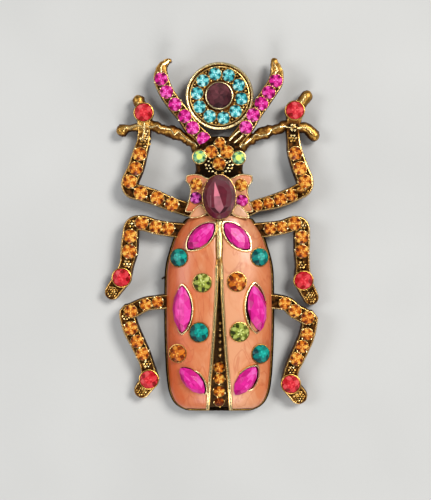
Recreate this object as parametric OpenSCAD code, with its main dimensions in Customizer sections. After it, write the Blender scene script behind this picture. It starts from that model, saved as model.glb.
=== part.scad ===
// A beetle brooch, face up: +Y towards the head, +Z out of its face, its feet on z = 0.

/* [Wing cases] */
// Length of the wing cases
wing_l = 43.4; // [40:0.2:47]
// Half width of the back, from the middle line to the edge of a wing case
wing_w = 12.2; // [11:0.1:13.4]
// Height of the back's crown above the flange that the wing cases stand on
dome_h = 6.2; // [5.6:0.1:7]
// Height of the upright edge of a wing case
rim_h = 0.6; // [0.4:0.1:1]
// Thickness of a wing case's roof, measured upright
wing_roof = 1.4; // [1.3:0.05:1.6]
// Thickness of a wing case's upright wall
wing_wall = 0.8; // [0.6:0.05:1.1]
// Width of the bare metal edge round the enamel of a wing case
rim_w = 0.4; // [0.3:0.05:0.6]
// Thickness of the enamel on a wing case
enamel_t = 0.5; // [0.4:0.05:0.6]

/* [Body] */
// Height of the body's underside above the surface that the feet stand on
lift = 1.6; // [1.4:0.1:2]
// Thickness of the flange under the wing cases
flange_t = 1.2; // [1:0.1:1.6]
// How far the flange stands out beyond the wing cases
flange_w = 0.4; // [0.2:0.05:0.8]
// Width of the hollow in the underside
hollow_w = 13; // [11:0.5:14]
// Depth of the hollow in the underside
hollow_h = 3.4; // [3.2:0.1:3.6]

/* [Collar] */
// Half width of the collar, from the middle line to its front corner
collar_w = 7.6; // [7:0.1:8.4]
// Length of the collar
collar_l = 10; // [9.4:0.1:10.8]
// Height of the collar above the underside of the body
collar_h = 4.8; // [4.4:0.1:5.2]
// Width of the bare metal edge round the collar's enamel
collar_rim = 0.35; // [0.25:0.05:0.5]
// Thickness of the collar's enamel
collar_enamel_t = 0.9; // [0.8:0.05:1.1]
// Height of the petal cells above the collar
petal_h = 0.8; // [0.6:0.05:1]
// Wall of a petal cell
petal_wall = 0.25; // [0.2:0.05:0.4]
// Width of the oval stone
oval_w = 7.4; // [7:0.1:7.8]
// Length of the oval stone
oval_l = 10; // [9.4:0.1:10.6]
// Height of the oval stone above its girdle
oval_crown = 1.7; // [1.3:0.1:2.2]

/* [Head] */
// Width of the head
head_w = 11.2; // [10.4:0.1:12.4]
// Length of the head, in front of the collar
head_l = 8; // [7.4:0.1:8.8]
// Height of the head above the underside of the body
head_h = 4.4; // [4:0.1:5]

/* [Round ornament] */
// Diameter of the ornament between the antennae
disc_d = 15.4; // [14.6:0.1:16.2]
// Thickness of the ornament's plate
disc_t = 2; // [1.6:0.1:2.4]
// Width of the ornament's raised edge
disc_rim = 0.6; // [0.4:0.05:0.9]
// Diameter of the ring of stones, through their middles
disc_ring_d = 10.2; // [9.8:0.1:10.8]
// Diameter of a stone in the ring
disc_stone_d = 2.65; // [2.4:0.05:2.7]
// Height of the ornament's raised edge
disc_lip = 0.4; // [0.3:0.05:0.6]
// Diameter of the ornament's middle stone
disc_middle_d = 5.7; // [5:0.1:5.9]

/* [Antennae] */
// How far an antenna reaches sideways from the head
antenna_out = 10; // [9:0.1:11]
// How far an antenna reaches forward from the head
antenna_along = 19; // [17.5:0.1:20.5]
// Height of an antenna's top above the surface that the feet stand on
antenna_top = 5; // [4.6:0.1:5.4]

/* [Legs] */
// How far a front leg reaches sideways from its hip
front_out = 14; // [13:0.1:15]
// How far a front leg reaches forward from its hip
front_along = 22; // [20.6:0.1:23.4]
// How far a middle leg reaches sideways from its hip
middle_out = 15; // [14:0.1:16]
// How far a middle leg reaches backward from its hip
middle_along = 14.5; // [13.6:0.1:15]
// How far a rear leg reaches sideways from its hip
rear_out = 10.5; // [9.8:0.1:11.4]
// How far a rear leg reaches backward from its hip
rear_along = 21; // [19.6:0.1:22.4]
// Height of a leg's top above the surface that the feet stand on
leg_h = 4.8; // [4.4:0.1:5.2]
// Metal on each side of the small stones
leg_wall = 0.45; // [0.35:0.05:0.6]
// Width of the twigs between the claws and the head
twig_w = 2.5; // [2:0.1:3]

/* [Stones] */
// Diameter of a small round stone
pave_d = 2.8; // [2.6:0.05:2.85]
// Height of a small stone above its girdle
pave_crown = 0.7; // [0.5:0.05:0.9]
// Diameter of a red stone
red_d = 4; // [3.6:0.1:4.4]
// Wall of a red stone's cup
cup_wall = 0.25; // [0.2:0.05:0.4]
// Diameter of a round stone on the wing cases
round_d = 4; // [3.7:0.05:4.3]
// Length of the shorter pointed stones
navette_l = 8.2; // [7.6:0.1:8.6]
// Width of the shorter pointed stones
navette_w = 4.1; // [3.7:0.1:4.5]
// Length of the longer pointed stones
long_navette_l = 10.9; // [10.2:0.1:11.6]
// Width of the longer pointed stones
long_navette_w = 4.6; // [4.2:0.1:4.8]
// Diameter of an eye
eye_d = 2.8; // [2.5:0.05:3]
// Diameter of a small stone on the collar
collar_stone_d = 2.4; // [2.1:0.05:2.5]
// Height of a large stone above its girdle
stone_crown = 1.1; // [0.8:0.1:1.5]
// Depth of a stone below its girdle
stone_foot = 0.7; // [0.5:0.05:0.75]
// Wall of the setting round a stone on the wing cases
bezel_wall = 0.3; // [0.2:0.05:0.4]
// Height of that setting above the enamel
bezel_h = 0.45; // [0.3:0.05:0.6]

/* [Pin] */
// Length of the pin's plate
pin_plate_l = 27; // [24:0.5:28]
// Width of the pin's plate
pin_plate_w = 3.2; // [2.6:0.1:4]
// Thickness of the pin's plate
pin_plate_t = 0.7; // [0.5:0.05:1]
// Diameter of the needle
needle_d = 0.9; // [0.7:0.05:1]
// Height of the needle's middle above the surface that the feet stand on
needle_z = 1.3; // [1.1:0.05:1.5]
// Length of the pin's hinge and of its catch, along the needle
pin_block_l = 2.4; // [2:0.1:3]

/* [Fit] */
// Clearance between a stone and its seat, and between enamel and metal
gap = 0.06; // [0.04:0.01:0.1]
// Clearance between the wing cases and the casting
wing_gap = 0.12; // [0.08:0.01:0.2]

/* [Hidden] */
LEG_NAMES = ["front_left", "front_right", "middle_left", "middle_right", "rear_left", "rear_right"];
NODES = concat(
    ["casting", "elytron_left", "elytron_right", "enamel_left", "enamel_right",
     "enamel_collar_left", "enamel_collar_right", "petal_left", "petal_right", "pin_finding",
     "stone_oval", "stone_disc", "stone_eye_left", "stone_eye_right",
     "pave_disc", "pave_head", "pave_tail", "pave_antenna_left", "pave_antenna_right"],
    [for (i = [1:7]) str("stone_left_", i)],
    [for (i = [1:7]) str("stone_right_", i)],
    [for (i = [1:4]) str("stone_collar_", i)],
    [for (leg = LEG_NAMES) str("stone_red_", leg)],
    [for (leg = LEG_NAMES) str("pave_leg_", leg)]);
node = "all";

LEFT = -1;
RIGHT = 1;
// How far cuts run past the surface that they open
past = 1;
// How far a shape runs into the one that it stands under
sunk = 0.1;
// Height of a stone's girdle above its seat's edge or below its cup's edge
girdle_z = 0.15;
// Height of a large stone's girdle band
girdle_t = 0.2;
// Sides of a limb, of a small stone, of a round one, of a pointed one's half, and of cups
limb_sides = 8;
pave_sides = 8;
stone_sides = 8;
navette_steps = 4;
cup_sides = 12;
disc_sides = 24;
// Width of a stone's table, as a share of the stone
table_share = 0.58;

gold = [0.72, 0.53, 0.22];
coral = [0.9, 0.56, 0.38];
peach = [0.93, 0.7, 0.52];
magenta = [0.9, 0.2, 0.7];
amber = [0.9, 0.58, 0.18];
red = [0.85, 0.13, 0.2];
aqua = [0.25, 0.75, 0.8];
teal = [0, 0.55, 0.52];
peridot = [0.7, 0.75, 0.35];
garnet = [0.35, 0.15, 0.22];
purple = [0.6, 0.1, 0.55];
lime = [0.8, 0.95, 0.4];

flange_z = lift + flange_t;
wing_start = -0.5;
collar_z = lift + collar_h;
leg_w = pave_d + 2 * leg_wall;

// The back, from front to tail. Places along it are shares of wing_l, the inner and outer edge
// of a wing case are shares of wing_w, and its crown is a share of dome_h.
BACK_AT = 0; BACK_IN = 1; BACK_OUT = 2; BACK_CROWN = 3;
BACK = [
    [0.00, 0.045, 0.60, 0.72],
    [0.07, 0.045, 0.78, 0.82],
    [0.15, 0.045, 0.89, 0.89],
    [0.25, 0.050, 0.98, 0.95],
    [0.37, 0.055, 1.00, 0.99],
    [0.58, 0.080, 1.00, 1.00],
    [0.73, 0.120, 0.98, 0.95],
    [0.82, 0.150, 0.96, 0.88],
    [0.90, 0.175, 0.92, 0.76],
    [0.955, 0.185, 0.84, 0.60],
    [0.985, 0.195, 0.72, 0.44],
    [1.00, 0.200, 0.58, 0.28]];
// Places across a wing case where its section has a corner, as shares of its width
ACROSS = [0, 0.35, 0.62, 0.82, 0.94, 1];
// Hidden surfaces, below the enamel and between wing case and body, keep only some of these places
COARSE_ROWS = [0, 2, 4, 6, 8, 10, 11];
COARSE_ACROSS = [0, 0.5, 0.82, 1];
// The section across the back is a superellipse with this power
back_power = 2.4;

// The collar's right edge, from the back round to the front, as shares of collar_w and collar_l
COLLAR = [
    [0.00, -0.03], [0.62, -0.03], [0.83, 0.10], [1.02, 0.12], [0.95, 0.29], [0.90, 0.44], [0.87, 0.58],
    [0.90, 0.72], [1.00, 0.82], [0.99, 0.93], [0.91, 0.955], [0.71, 0.97], [0.54, 0.94],
    [0.36, 0.88], [0.00, 0.86]];
// The right petal, with the same shares
PETAL = [
    [0.40, 0.12], [0.50, 0.05], [0.63, 0.02], [0.81, 0.00], [0.87, 0.01], [0.83, 0.07],
    [0.72, 0.18], [0.56, 0.265], [0.49, 0.23]];
// The right edge of the head, as shares of half its width and of its length
HEAD = [[0.92, -0.25], [0.94, 0.1], [1.00, 0.45], [0.97, 0.68], [0.48, 1.02]];
// The collar's four small stones: side, and shares of collar_w and collar_l
COLLAR_STONES = [[LEFT, 0.685, 0.735], [LEFT, 0.70, 0.43], [RIGHT, 0.65, 0.72], [RIGHT, 0.68, 0.37]];
// The stones on top of the head: shares of half its width and of its length, and of pave_d
HEAD_STONES = [[-0.32, 0.59, 1], [0.30, 0.59, 1], [0, 0.25, 1], [0.03, 0.845, 0.8]];
// The eyes, with the same shares of the head
EYES = [[-0.8, 0.45], [0.78, 0.42]];
// The tail's stones: share of wing_l, and of pave_d
TAIL_STONES = [[0.772, 0.8], [0.83, 0.8], [0.897, 0.86], [0.953, 0.74]];

// The stones of the wing cases, from front to tail: shares of wing_l and wing_w, turn in degrees
// from outward, shape, and share of that shape's size
SET_AT = 0; SET_OUT = 1; SET_TURN = 2; SET_SHAPE = 3; SET_SIZE = 4;
ROUND = 0; NAVETTE = 1; LONG_NAVETTE = 2;
LEFT_STONES = [
    [0.091, 0.335, -44, NAVETTE, 1],
    [0.202, 0.735, 0, ROUND, 0.98],
    [0.331, 0.311, 0, ROUND, 1],
    [0.469, 0.680, 90, LONG_NAVETTE, 1],
    [0.587, 0.369, 0, ROUND, 1.05],
    [0.698, 0.755, 0, ROUND, 0.95],
    [0.838, 0.495, 47, NAVETTE, 1]];
RIGHT_STONES = [
    [0.090, 0.325, -47, NAVETTE, 1],
    [0.199, 0.735, 0, ROUND, 0.98],
    [0.326, 0.324, 0, ROUND, 1.03],
    [0.464, 0.690, -84, LONG_NAVETTE, 1],
    [0.585, 0.372, 0, ROUND, 1.04],
    [0.700, 0.755, 0, ROUND, 1],
    [0.840, 0.480, 54, NAVETTE, 1]];

// Limbs: shares of the sideways and lengthwise reach from the root, of the top's height for the
// top and the bottom, of leg_w for the width, and of pave_d for a stone set there, 0 for none
OUT = 0; ALONG = 1; TOP = 2; LOW = 3; WIDTH = 4; STONE = 5;
FRONT_LEFT = [
    [-0.08, -0.02, 1.00, 0.34, 0.90, 0],
    [0.242, 0.045, 1.00, 0.44, 0.90, 1],
    [0.477, 0.110, 1.02, 0.48, 0.97, 1],
    [0.747, 0.162, 1.04, 0.48, 1.00, 1],
    [0.900, 0.195, 1.02, 0.46, 1.00, 0],
    [0.922, 0.279, 1.02, 0.44, 1.10, 1],
    [0.826, 0.414, 1.00, 0.44, 1.05, 1],
    [0.760, 0.565, 0.96, 0.40, 1.00, 1],
    [0.700, 0.708, 0.90, 0.30, 0.86, 0],
    [0.692, 0.852, 0.84, 0.10, 0.90, 0],
    [0.700, 0.997, 0.84, 0.00, 1.10, 0]];
FRONT_RIGHT = [
    [-0.08, -0.02, 1.00, 0.34, 0.85, 0],
    [0.089, 0.034, 1.00, 0.42, 0.82, 0.77],
    [0.273, 0.057, 1.00, 0.44, 0.88, 0.77],
    [0.464, 0.095, 1.02, 0.46, 0.97, 0.93],
    [0.644, 0.142, 1.04, 0.48, 0.97, 0.85],
    [0.785, 0.186, 1.04, 0.48, 0.97, 0.5],
    [0.845, 0.205, 1.02, 0.46, 1.00, 0],
    [0.862, 0.280, 1.02, 0.44, 1.12, 1],
    [0.784, 0.418, 1.00, 0.44, 1.08, 1],
    [0.709, 0.571, 0.96, 0.40, 1.00, 1],
    [0.677, 0.708, 0.90, 0.30, 0.86, 0],
    [0.669, 0.852, 0.84, 0.10, 0.90, 0],
    [0.703, 1.018, 0.84, 0.00, 1.10, 0]];
MIDDLE_LEFT = [
    [-0.10, 0.01, 1.00, 0.34, 1.00, 0],
    [0.140, -0.018, 1.00, 0.44, 0.95, 0.90],
    [0.327, -0.047, 1.02, 0.48, 0.95, 0.93],
    [0.540, -0.112, 1.04, 0.48, 0.97, 0.97],
    [0.680, -0.070, 1.02, 0.46, 1.00, 0],
    [0.714, 0.099, 1.00, 0.44, 1.08, 1],
    [0.729, 0.339, 0.96, 0.40, 1.14, 1.08],
    [0.775, 0.540, 0.90, 0.28, 0.95, 0],
    [0.848, 0.750, 0.84, 0.00, 1.10, 0],
    [0.990, 0.980, 0.72, 0.00, 1.00, 0]];
MIDDLE_RIGHT = [
    [-0.10, 0.01, 1.00, 0.34, 1.00, 0],
    [0.138, -0.019, 1.00, 0.44, 0.95, 0.88],
    [0.317, -0.045, 1.02, 0.48, 0.93, 0.82],
    [0.508, -0.100, 1.04, 0.48, 0.97, 1],
    [0.610, -0.060, 1.02, 0.46, 1.00, 0],
    [0.620, 0.116, 1.00, 0.44, 1.06, 0.98],
    [0.622, 0.337, 0.96, 0.40, 1.03, 1],
    [0.630, 0.555, 0.90, 0.28, 0.95, 0],
    [0.647, 0.795, 0.84, 0.00, 1.10, 0],
    [0.765, 1.062, 0.72, 0.00, 1.00, 0]];
REAR_LEFT = [
    [-0.12, 0.00, 1.00, 0.34, 1.05, 0],
    [0.297, 0.022, 1.00, 0.44, 0.92, 0.82],
    [0.558, 0.045, 1.02, 0.48, 0.92, 0.84],
    [0.877, 0.118, 1.04, 0.48, 1.00, 0.95],
    [0.960, 0.140, 1.02, 0.46, 1.00, 0],
    [0.877, 0.304, 1.00, 0.44, 1.08, 1.02],
    [0.742, 0.447, 0.98, 0.42, 1.02, 0.96],
    [0.623, 0.582, 0.96, 0.40, 0.97, 0.96],
    [0.530, 0.700, 0.90, 0.28, 0.92, 0],
    [0.487, 0.862, 0.84, 0.00, 1.10, 0],
    [0.640, 0.980, 0.72, 0.00, 1.06, 0]];
REAR_RIGHT = [
    [-0.12, 0.00, 1.00, 0.34, 1.05, 0],
    [0.387, 0.034, 1.00, 0.44, 0.92, 0.88],
    [0.604, 0.116, 1.02, 0.48, 0.95, 0.95],
    [0.875, 0.190, 1.04, 0.48, 1.00, 0.96],
    [0.935, 0.200, 1.02, 0.46, 1.00, 0],
    [0.864, 0.370, 1.00, 0.44, 1.06, 0.88],
    [0.760, 0.504, 0.98, 0.42, 1.06, 0.92],
    [0.638, 0.639, 0.96, 0.40, 1.02, 0.96],
    [0.537, 0.766, 0.90, 0.28, 0.98, 0],
    [0.519, 0.912, 0.84, 0.00, 1.10, 0],
    [0.700, 1.042, 0.72, 0.00, 1.12, 0]];
ANTENNA_LEFT = [
    [-0.05, -0.06, 1.06, 0.50, 0.95, 0],
    [0.02, 0.02, 1.04, 0.52, 0.95, 0.93],
    [0.27, 0.15, 1.02, 0.54, 0.95, 0.93],
    [0.45, 0.29, 1.00, 0.56, 0.95, 0.93],
    [0.67, 0.43, 1.00, 0.56, 0.95, 0.93],
    [0.86, 0.58, 1.00, 0.56, 0.95, 0.93],
    [0.985, 0.735, 1.00, 0.56, 0.95, 0.93],
    [0.97, 0.85, 0.98, 0.58, 0.75, 0],
    [0.895, 0.925, 0.94, 0.60, 0.48, 0],
    [0.80, 0.957, 0.90, 0.64, 0.32, 0]];
ANTENNA_RIGHT = [
    [-0.05, -0.06, 1.06, 0.50, 0.95, 0],
    [0.27, 0.155, 1.02, 0.54, 0.95, 0.93],
    [0.44, 0.305, 1.00, 0.56, 0.95, 0.95],
    [0.62, 0.440, 1.00, 0.56, 0.95, 0.95],
    [0.79, 0.575, 1.00, 0.56, 0.95, 0.93],
    [0.95, 0.715, 1.00, 0.56, 0.95, 0.93],
    [0.965, 0.84, 0.98, 0.58, 0.78, 0],
    [0.915, 0.955, 0.92, 0.62, 0.44, 0]];
// The prongs of the front claws, from the leg outwards, with the front legs' shares
PRONGS_LEFT = [
    [[0.700, 0.997, 0.84, 0.20, 0.80, 0], [0.790, 1.121, 0.82, 0.20, 0.77, 0]],
    [[0.692, 0.852, 0.84, 0.20, 0.80, 0], [0.920, 0.843, 0.80, 0.30, 0.43, 0],
     [1.044, 0.817, 0.80, 0.24, 0.82, 0]]];
PRONGS_RIGHT = [
    [[0.703, 1.018, 0.84, 0.20, 0.80, 0], [0.800, 1.090, 0.82, 0.24, 0.70, 0],
     [0.901, 1.169, 0.82, 0.30, 0.75, 0]],
    [[0.669, 0.852, 0.84, 0.20, 0.80, 0], [0.890, 0.840, 0.82, 0.24, 0.70, 0],
     [1.014, 0.767, 0.80, 0.28, 0.77, 0]]];
// A twig from the head to a claw: shares of its length along and sideways, and of twig_w
TWIG = [
    [0.00, 0.000, 1.00], [0.14, 0.080, 0.95], [0.31, 0.115, 1.05], [0.47, 0.108, 1.12],
    [0.66, 0.092, 1.02], [0.87, 0.065, 1.08], [1.00, 0.000, 1.10]];

// Hips and antenna roots: sideways from the middle line, and along
front_hip = [0.975 * collar_w, 0.19 * collar_l];
middle_hip = [0.78 * wing_w, wing_start - 0.056 * wing_l];
rear_hip = [0.893 * wing_w, wing_start - 0.424 * wing_l];
antenna_root = [0.3 * head_w, collar_l + 0.925 * head_l];

function limb_path(table, root, reach, side, height) = [for (row = table) [
    side * (root.x + row[OUT] * reach.x), root.y + row[ALONG] * reach.y,
    height * row[TOP], height * row[LOW], leg_w * row[WIDTH], pave_d * row[STONE]]];

front_reach = [front_out, front_along];
middle_reach = [middle_out, -middle_along];
rear_reach = [rear_out, -rear_along];
LEGS = [
    limb_path(FRONT_LEFT, front_hip, front_reach, LEFT, leg_h),
    limb_path(FRONT_RIGHT, front_hip, front_reach, RIGHT, leg_h),
    limb_path(MIDDLE_LEFT, middle_hip, middle_reach, LEFT, leg_h),
    limb_path(MIDDLE_RIGHT, middle_hip, middle_reach, RIGHT, leg_h),
    limb_path(REAR_LEFT, rear_hip, rear_reach, LEFT, leg_h),
    limb_path(REAR_RIGHT, rear_hip, rear_reach, RIGHT, leg_h)];
// Each leg's cup is this many rows before the leg's last
CUP_ROW = [0, 0, 1, 1, 1, 1];
antenna_reach = [antenna_out, antenna_along];
ANTENNAE = [
    limb_path(ANTENNA_LEFT, antenna_root, antenna_reach, LEFT, antenna_top),
    limb_path(ANTENNA_RIGHT, antenna_root, antenna_reach, RIGHT, antenna_top)];
PRONGS = concat(
    [for (prong = PRONGS_LEFT) limb_path(prong, front_hip, front_reach, LEFT, leg_h)],
    [for (prong = PRONGS_RIGHT) limb_path(prong, front_hip, front_reach, RIGHT, leg_h)]);

// The box round the limbs, which puts the origin under the middle of the brooch
LIMB_POINTS = [for (path = concat(LEGS, ANTENNAE, PRONGS)) each path];
x_low = min([for (p = LIMB_POINTS) p.x - p[WIDTH] / 2]);
x_high = max([for (p = LIMB_POINTS) p.x + p[WIDTH] / 2]);
y_low = wing_start - wing_l - flange_w;
y_high = max([for (p = LIMB_POINTS) p.y + p[WIDTH] / 2]);
middle = [-(x_low + x_high) / 2, -(y_low + y_high) / 2, 0];

disc_at = [0.2, antenna_root.y + 0.535 * antenna_along];
disc_z = antenna_top - disc_t;
oval_at = [0, 0.44 * collar_l];
oval_cup_z = collar_z + petal_h + 0.15;
oval_cup_h = 1.2;
oval_girdle_z = oval_cup_z + oval_cup_h - girdle_z;

// Height of the back's surface at a place x from the middle line and y along it
function back_share(y) = (wing_start - y) / wing_l;
function back_column(column) = [for (row = BACK) [row[BACK_AT], row[column]]];
function back_outer(y) = wing_w * lookup(back_share(y), back_column(BACK_OUT));
function back_crown(y) = dome_h * lookup(back_share(y), back_column(BACK_CROWN));
function dome(t) = sqrt(max(0, 1 - pow(min(1, abs(t)), back_power)));
function back_z(x, y) = flange_z + rim_h + (back_crown(y) - rim_h) * dome(x / back_outer(y));

// The triangles between rings of n points, where the rings' points start at first
function side_faces(n, last, first) = [for (k = [0:last - 1], i = [0:n - 1])
    let (a = first + k * n + i, b = first + k * n + (i + 1) % n)
    each [[a, a + n, b], [b, a + n, b + n]]];
// A closed solid through rings of equally many points, from the lowest to the highest
module loft(rings) {
    n = len(rings[0]);
    last = len(rings) - 1;
    polyhedron(
        points = [for (ring = rings) each ring],
        faces = concat(
            [[for (i = [0:n - 1]) i]],
            side_faces(n, last, 0),
            [[for (i = [n - 1:-1:0]) last * n + i]]));
}

// Outlines of stones, with r for the clearance or wall outside the stone
function oval_outline(l, w, sides) = [for (i = [0:sides - 1]) [
    l / 2 * cos(360 * i / sides), w / 2 * sin(360 * i / sides)]];
function navette_side(l, w, steps, side) =
    let (radius = (l * l + w * w) / (4 * w), half = asin(l / 2 / radius))
    [for (i = [0:steps - 1]) let (a = half - 2 * half * i / steps) [
        side * radius * sin(a), side * (radius * cos(a) - radius + w / 2)]];
function navette_outline(l, w) = concat(
    navette_side(l, w, navette_steps, 1), navette_side(l, w, navette_steps, -1));
function stone_outline(row, r) =
    row[SET_SHAPE] == ROUND
        ? oval_outline(round_d * row[SET_SIZE] + 2 * r, round_d * row[SET_SIZE] + 2 * r, stone_sides)
        : row[SET_SHAPE] == NAVETTE
            ? navette_outline(navette_l * row[SET_SIZE] + 4 * r, navette_w * row[SET_SIZE] + 2 * r)
            : navette_outline(long_navette_l * row[SET_SIZE] + 4 * r,
                              long_navette_w * row[SET_SIZE] + 2 * r);

function counterclockwise(outline) =
    let (n = len(outline),
         area = [for (i = [0:n - 1]) outline[i].x * outline[(i + 1) % n].y
                                   - outline[(i + 1) % n].x * outline[i].y],
         total = area * [for (i = [0:n - 1]) 1])
    total > 0 ? outline : [for (i = [n - 1:-1:0]) outline[i]];

function ring(outline, z, share) = [for (p = outline) [share * p.x, share * p.y, z]];

// A cut stone with its girdle at z = 0: flat table, sloping crown, and a back that ends in a point
module cut_stone(rings, foot) {
    n = len(rings[0]);
    last = len(rings) - 1;
    polyhedron(
        points = concat([[0, 0, -foot]], [for (ring = rings) each ring]),
        faces = concat(
            [for (i = [0:n - 1]) [0, 1 + i, 1 + (i + 1) % n]],
            side_faces(n, last, 1),
            [[for (i = [n - 1:-1:0]) 1 + last * n + i]]));
}
module stone(outline, crown) {
    edge = counterclockwise(outline);
    cut_stone([ring(edge, 0, 1), ring(edge, girdle_t, 1), ring(edge, girdle_t + crown, table_share)],
              stone_foot);
}
// A small round stone, which has no flat girdle
module pave_stone(d) {
    edge = oval_outline(d, d, pave_sides);
    cut_stone([ring(edge, 0, 1), ring(edge, pave_crown, table_share)], stone_foot);
}

// The seat that is cut for a small stone
module pave_seat(d) {
    translate([0, 0, -stone_foot - gap])
        cylinder(d = d + 2 * gap, h = stone_foot + pave_crown + past, $fn = pave_sides);
}

// A limb: rounded studs joined two by two
module stud(p) {
    translate([p.x, p.y, p[LOW]]) cylinder(d = p[WIDTH], h = p[TOP] - p[LOW], $fn = limb_sides);
}
module limb(path) {
    for (i = [0:len(path) - 2]) hull() {
        stud(path[i]);
        stud(path[i + 1]);
    }
}

function cup_point(leg) = LEGS[leg][len(LEGS[leg]) - 1 - CUP_ROW[leg]];
module at_cup(leg) {
    p = cup_point(leg);
    translate([p.x, p.y, p[TOP]]) children();
}

// Twigs run from the side of the head to the row of the front leg before its cup
function twig_path(leg, side) =
    let (far = LEGS[leg][len(LEGS[leg]) - 2],
         near = [side * 0.44 * head_w, collar_l + 0.66 * head_l],
         run = [far.x - near.x, far.y - near.y],
         across = [-side * run.y, side * run.x])
    [for (row = TWIG) [
        near.x + row[0] * run.x + row[1] * across.x, near.y + row[0] * run.y + row[1] * across.y,
        far[TOP], leg_h * 0.38, twig_w * row[2], 0]];

// The wing cases. The right one is drawn, and side mirrors it.
function back_ring(row, inner_x, across) =
    let (y = wing_start - row[BACK_AT] * wing_l, outer_x = wing_w * row[BACK_OUT])
    concat(
        [[inner_x, y, 0], [outer_x, y, 0]],
        [for (i = [len(across) - 1:-1:0])
            let (x = inner_x + (outer_x - inner_x) * across[i]) [x, y, back_z(max(x, 0), y)]]);
module back_solid() loft([for (row = BACK) back_ring(row, wing_w * row[BACK_IN], ACROSS)]);
module coarse_back(drop) {
    translate([0, 0, -drop]) loft([for (i = COARSE_ROWS) back_ring(BACK[i], -past, COARSE_ACROSS)]);
}

// The plan of a wing case, drawn in from its edges
function drawn_in(at, inset) = wing_start - inset - at * (wing_l - 2 * inset);
function outer_edge(inset) = [for (i = [len(BACK) - 1:-1:0])
    [wing_w * BACK[i][BACK_OUT] - inset, drawn_in(BACK[i][BACK_AT], inset)]];
function wing_plan(inset) = concat(
    [for (row = BACK) [wing_w * row[BACK_IN] + inset, drawn_in(row[BACK_AT], inset)]],
    outer_edge(inset));
module wing_prism(inset) {
    translate([0, 0, flange_z - past]) linear_extrude(dome_h + 2 * past) polygon(wing_plan(inset));
}

// The plan of half the back under the wing cases, from a little past the middle line
function body_plan(inset) = concat(
    [[-past / 2, drawn_in(0, inset)], [-past / 2, drawn_in(1, inset)]], outer_edge(inset));
// The room of the wing cases, which the legs stay clear of
module wing_room() {
    both_sides() translate([0, 0, flange_z]) linear_extrude(dome_h) polygon(body_plan(-wing_gap));
}
module body_prism(inset) {
    translate([0, 0, flange_z - flange_t / 2]) linear_extrude(dome_h + past)
        polygon(body_plan(inset));
}

module on_side(side) {
    if (side == LEFT) mirror([1, 0, 0]) children();
    else children();
}

// A stone's seat on the back, tilted to lie on the slope
slope_span = 1.4;
module on_back(row) {
    x = row[SET_OUT] * wing_w;
    y = wing_start - row[SET_AT] * wing_l;
    tilt = atan((back_z(x - slope_span, y) - back_z(x + slope_span, y)) / (2 * slope_span));
    pitch = atan((back_z(x, y + slope_span) - back_z(x, y - slope_span)) / (2 * slope_span));
    translate([x, y, back_z(x, y)]) rotate([pitch, tilt, 0]) rotate([0, 0, row[SET_TURN]]) children();
}
module plate(outline, z, t) {
    translate([0, 0, z]) linear_extrude(t) polygon(outline);
}
lip = 0.05;
module bezel(row, grow) {
    wall = stone_outline(row, bezel_wall + grow);
    hull() {
        plate(wall, -stone_foot, lip);
        plate(wall, 0, lip);
    }
    hull() {
        plate(wall, 0, lip);
        plate(stone_outline(row, bezel_wall / 2 + grow), bezel_h - lip, lip);
    }
}
module bezel_seat(row) {
    hull() plate(stone_outline(row, gap), girdle_z - stone_foot - gap, stone_foot + bezel_h + past);
}

module elytron(side, stones) {
    color(gold) on_side(side) difference() {
        union() {
            difference() {
                back_solid();
                difference() {
                    wing_prism(rim_w);
                    coarse_back(enamel_t);
                }
            }
            intersection() {
                wing_prism(0);
                for (row = stones) on_back(row) bezel(row, 0);
            }
        }
        for (row = stones) on_back(row) bezel_seat(row);
        intersection() {
            body_prism(wing_wall);
            coarse_back(wing_roof);
        }
        translate([-2 * wing_w, -2 * wing_l, 0])
            cube([4 * wing_w, 4 * wing_l, flange_z + wing_gap]);
    }
}

module enamel(side, stones) {
    color(coral) on_side(side) difference() {
        intersection() {
            wing_prism(rim_w + gap);
            back_solid();
        }
        coarse_back(enamel_t - gap);
        for (row = stones) on_back(row) bezel(row, gap);
    }
}

module set_stone(side, row, shade) {
    color(shade) on_side(side) on_back(row) translate([0, 0, girdle_z])
        stone(stone_outline(row, 0), stone_crown);
}

// The collar and its petals. Their right halves are drawn.
function in_collar(outline) = [for (p = outline) [p.x * collar_w, p.y * collar_l]];
module collar_plan() {
    polygon(in_collar(COLLAR));
    mirror([1, 0]) polygon(in_collar(COLLAR));
}
module petal_plan(grow) offset(delta = grow) polygon(in_collar(PETAL));
module oval_plan(grow, share) {
    translate(oval_at) scale(share)
        polygon(oval_outline(oval_w + 2 * grow, oval_l + 2 * grow, 2 * cup_sides));
}
pedestal_share = 0.8;
petal_floor = 0.3;

module collar_stone_at(row) {
    translate([row[0] * row[1] * collar_w, row[2] * collar_l, collar_z]) children();
}
module enamel_collar(side) {
    color(coral) difference() {
        translate([0, 0, collar_z - collar_enamel_t]) linear_extrude(collar_enamel_t - gap)
            difference() {
                intersection() {
                    offset(delta = -collar_rim - gap) collar_plan();
                    translate([side > 0 ? gap : -gap - 2 * collar_w, -collar_l])
                        square([2 * collar_w, 3 * collar_l]);
                }
                oval_plan(gap, pedestal_share);
                on_side(side) petal_plan(petal_wall + gap);
            }
        for (row = COLLAR_STONES) collar_stone_at(row) pave_seat(collar_stone_d);
    }
}
module petal(side) {
    color(peach) on_side(side) translate([0, 0, collar_z + petal_floor])
        linear_extrude(petal_h - petal_floor - gap) petal_plan(-gap);
}

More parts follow.
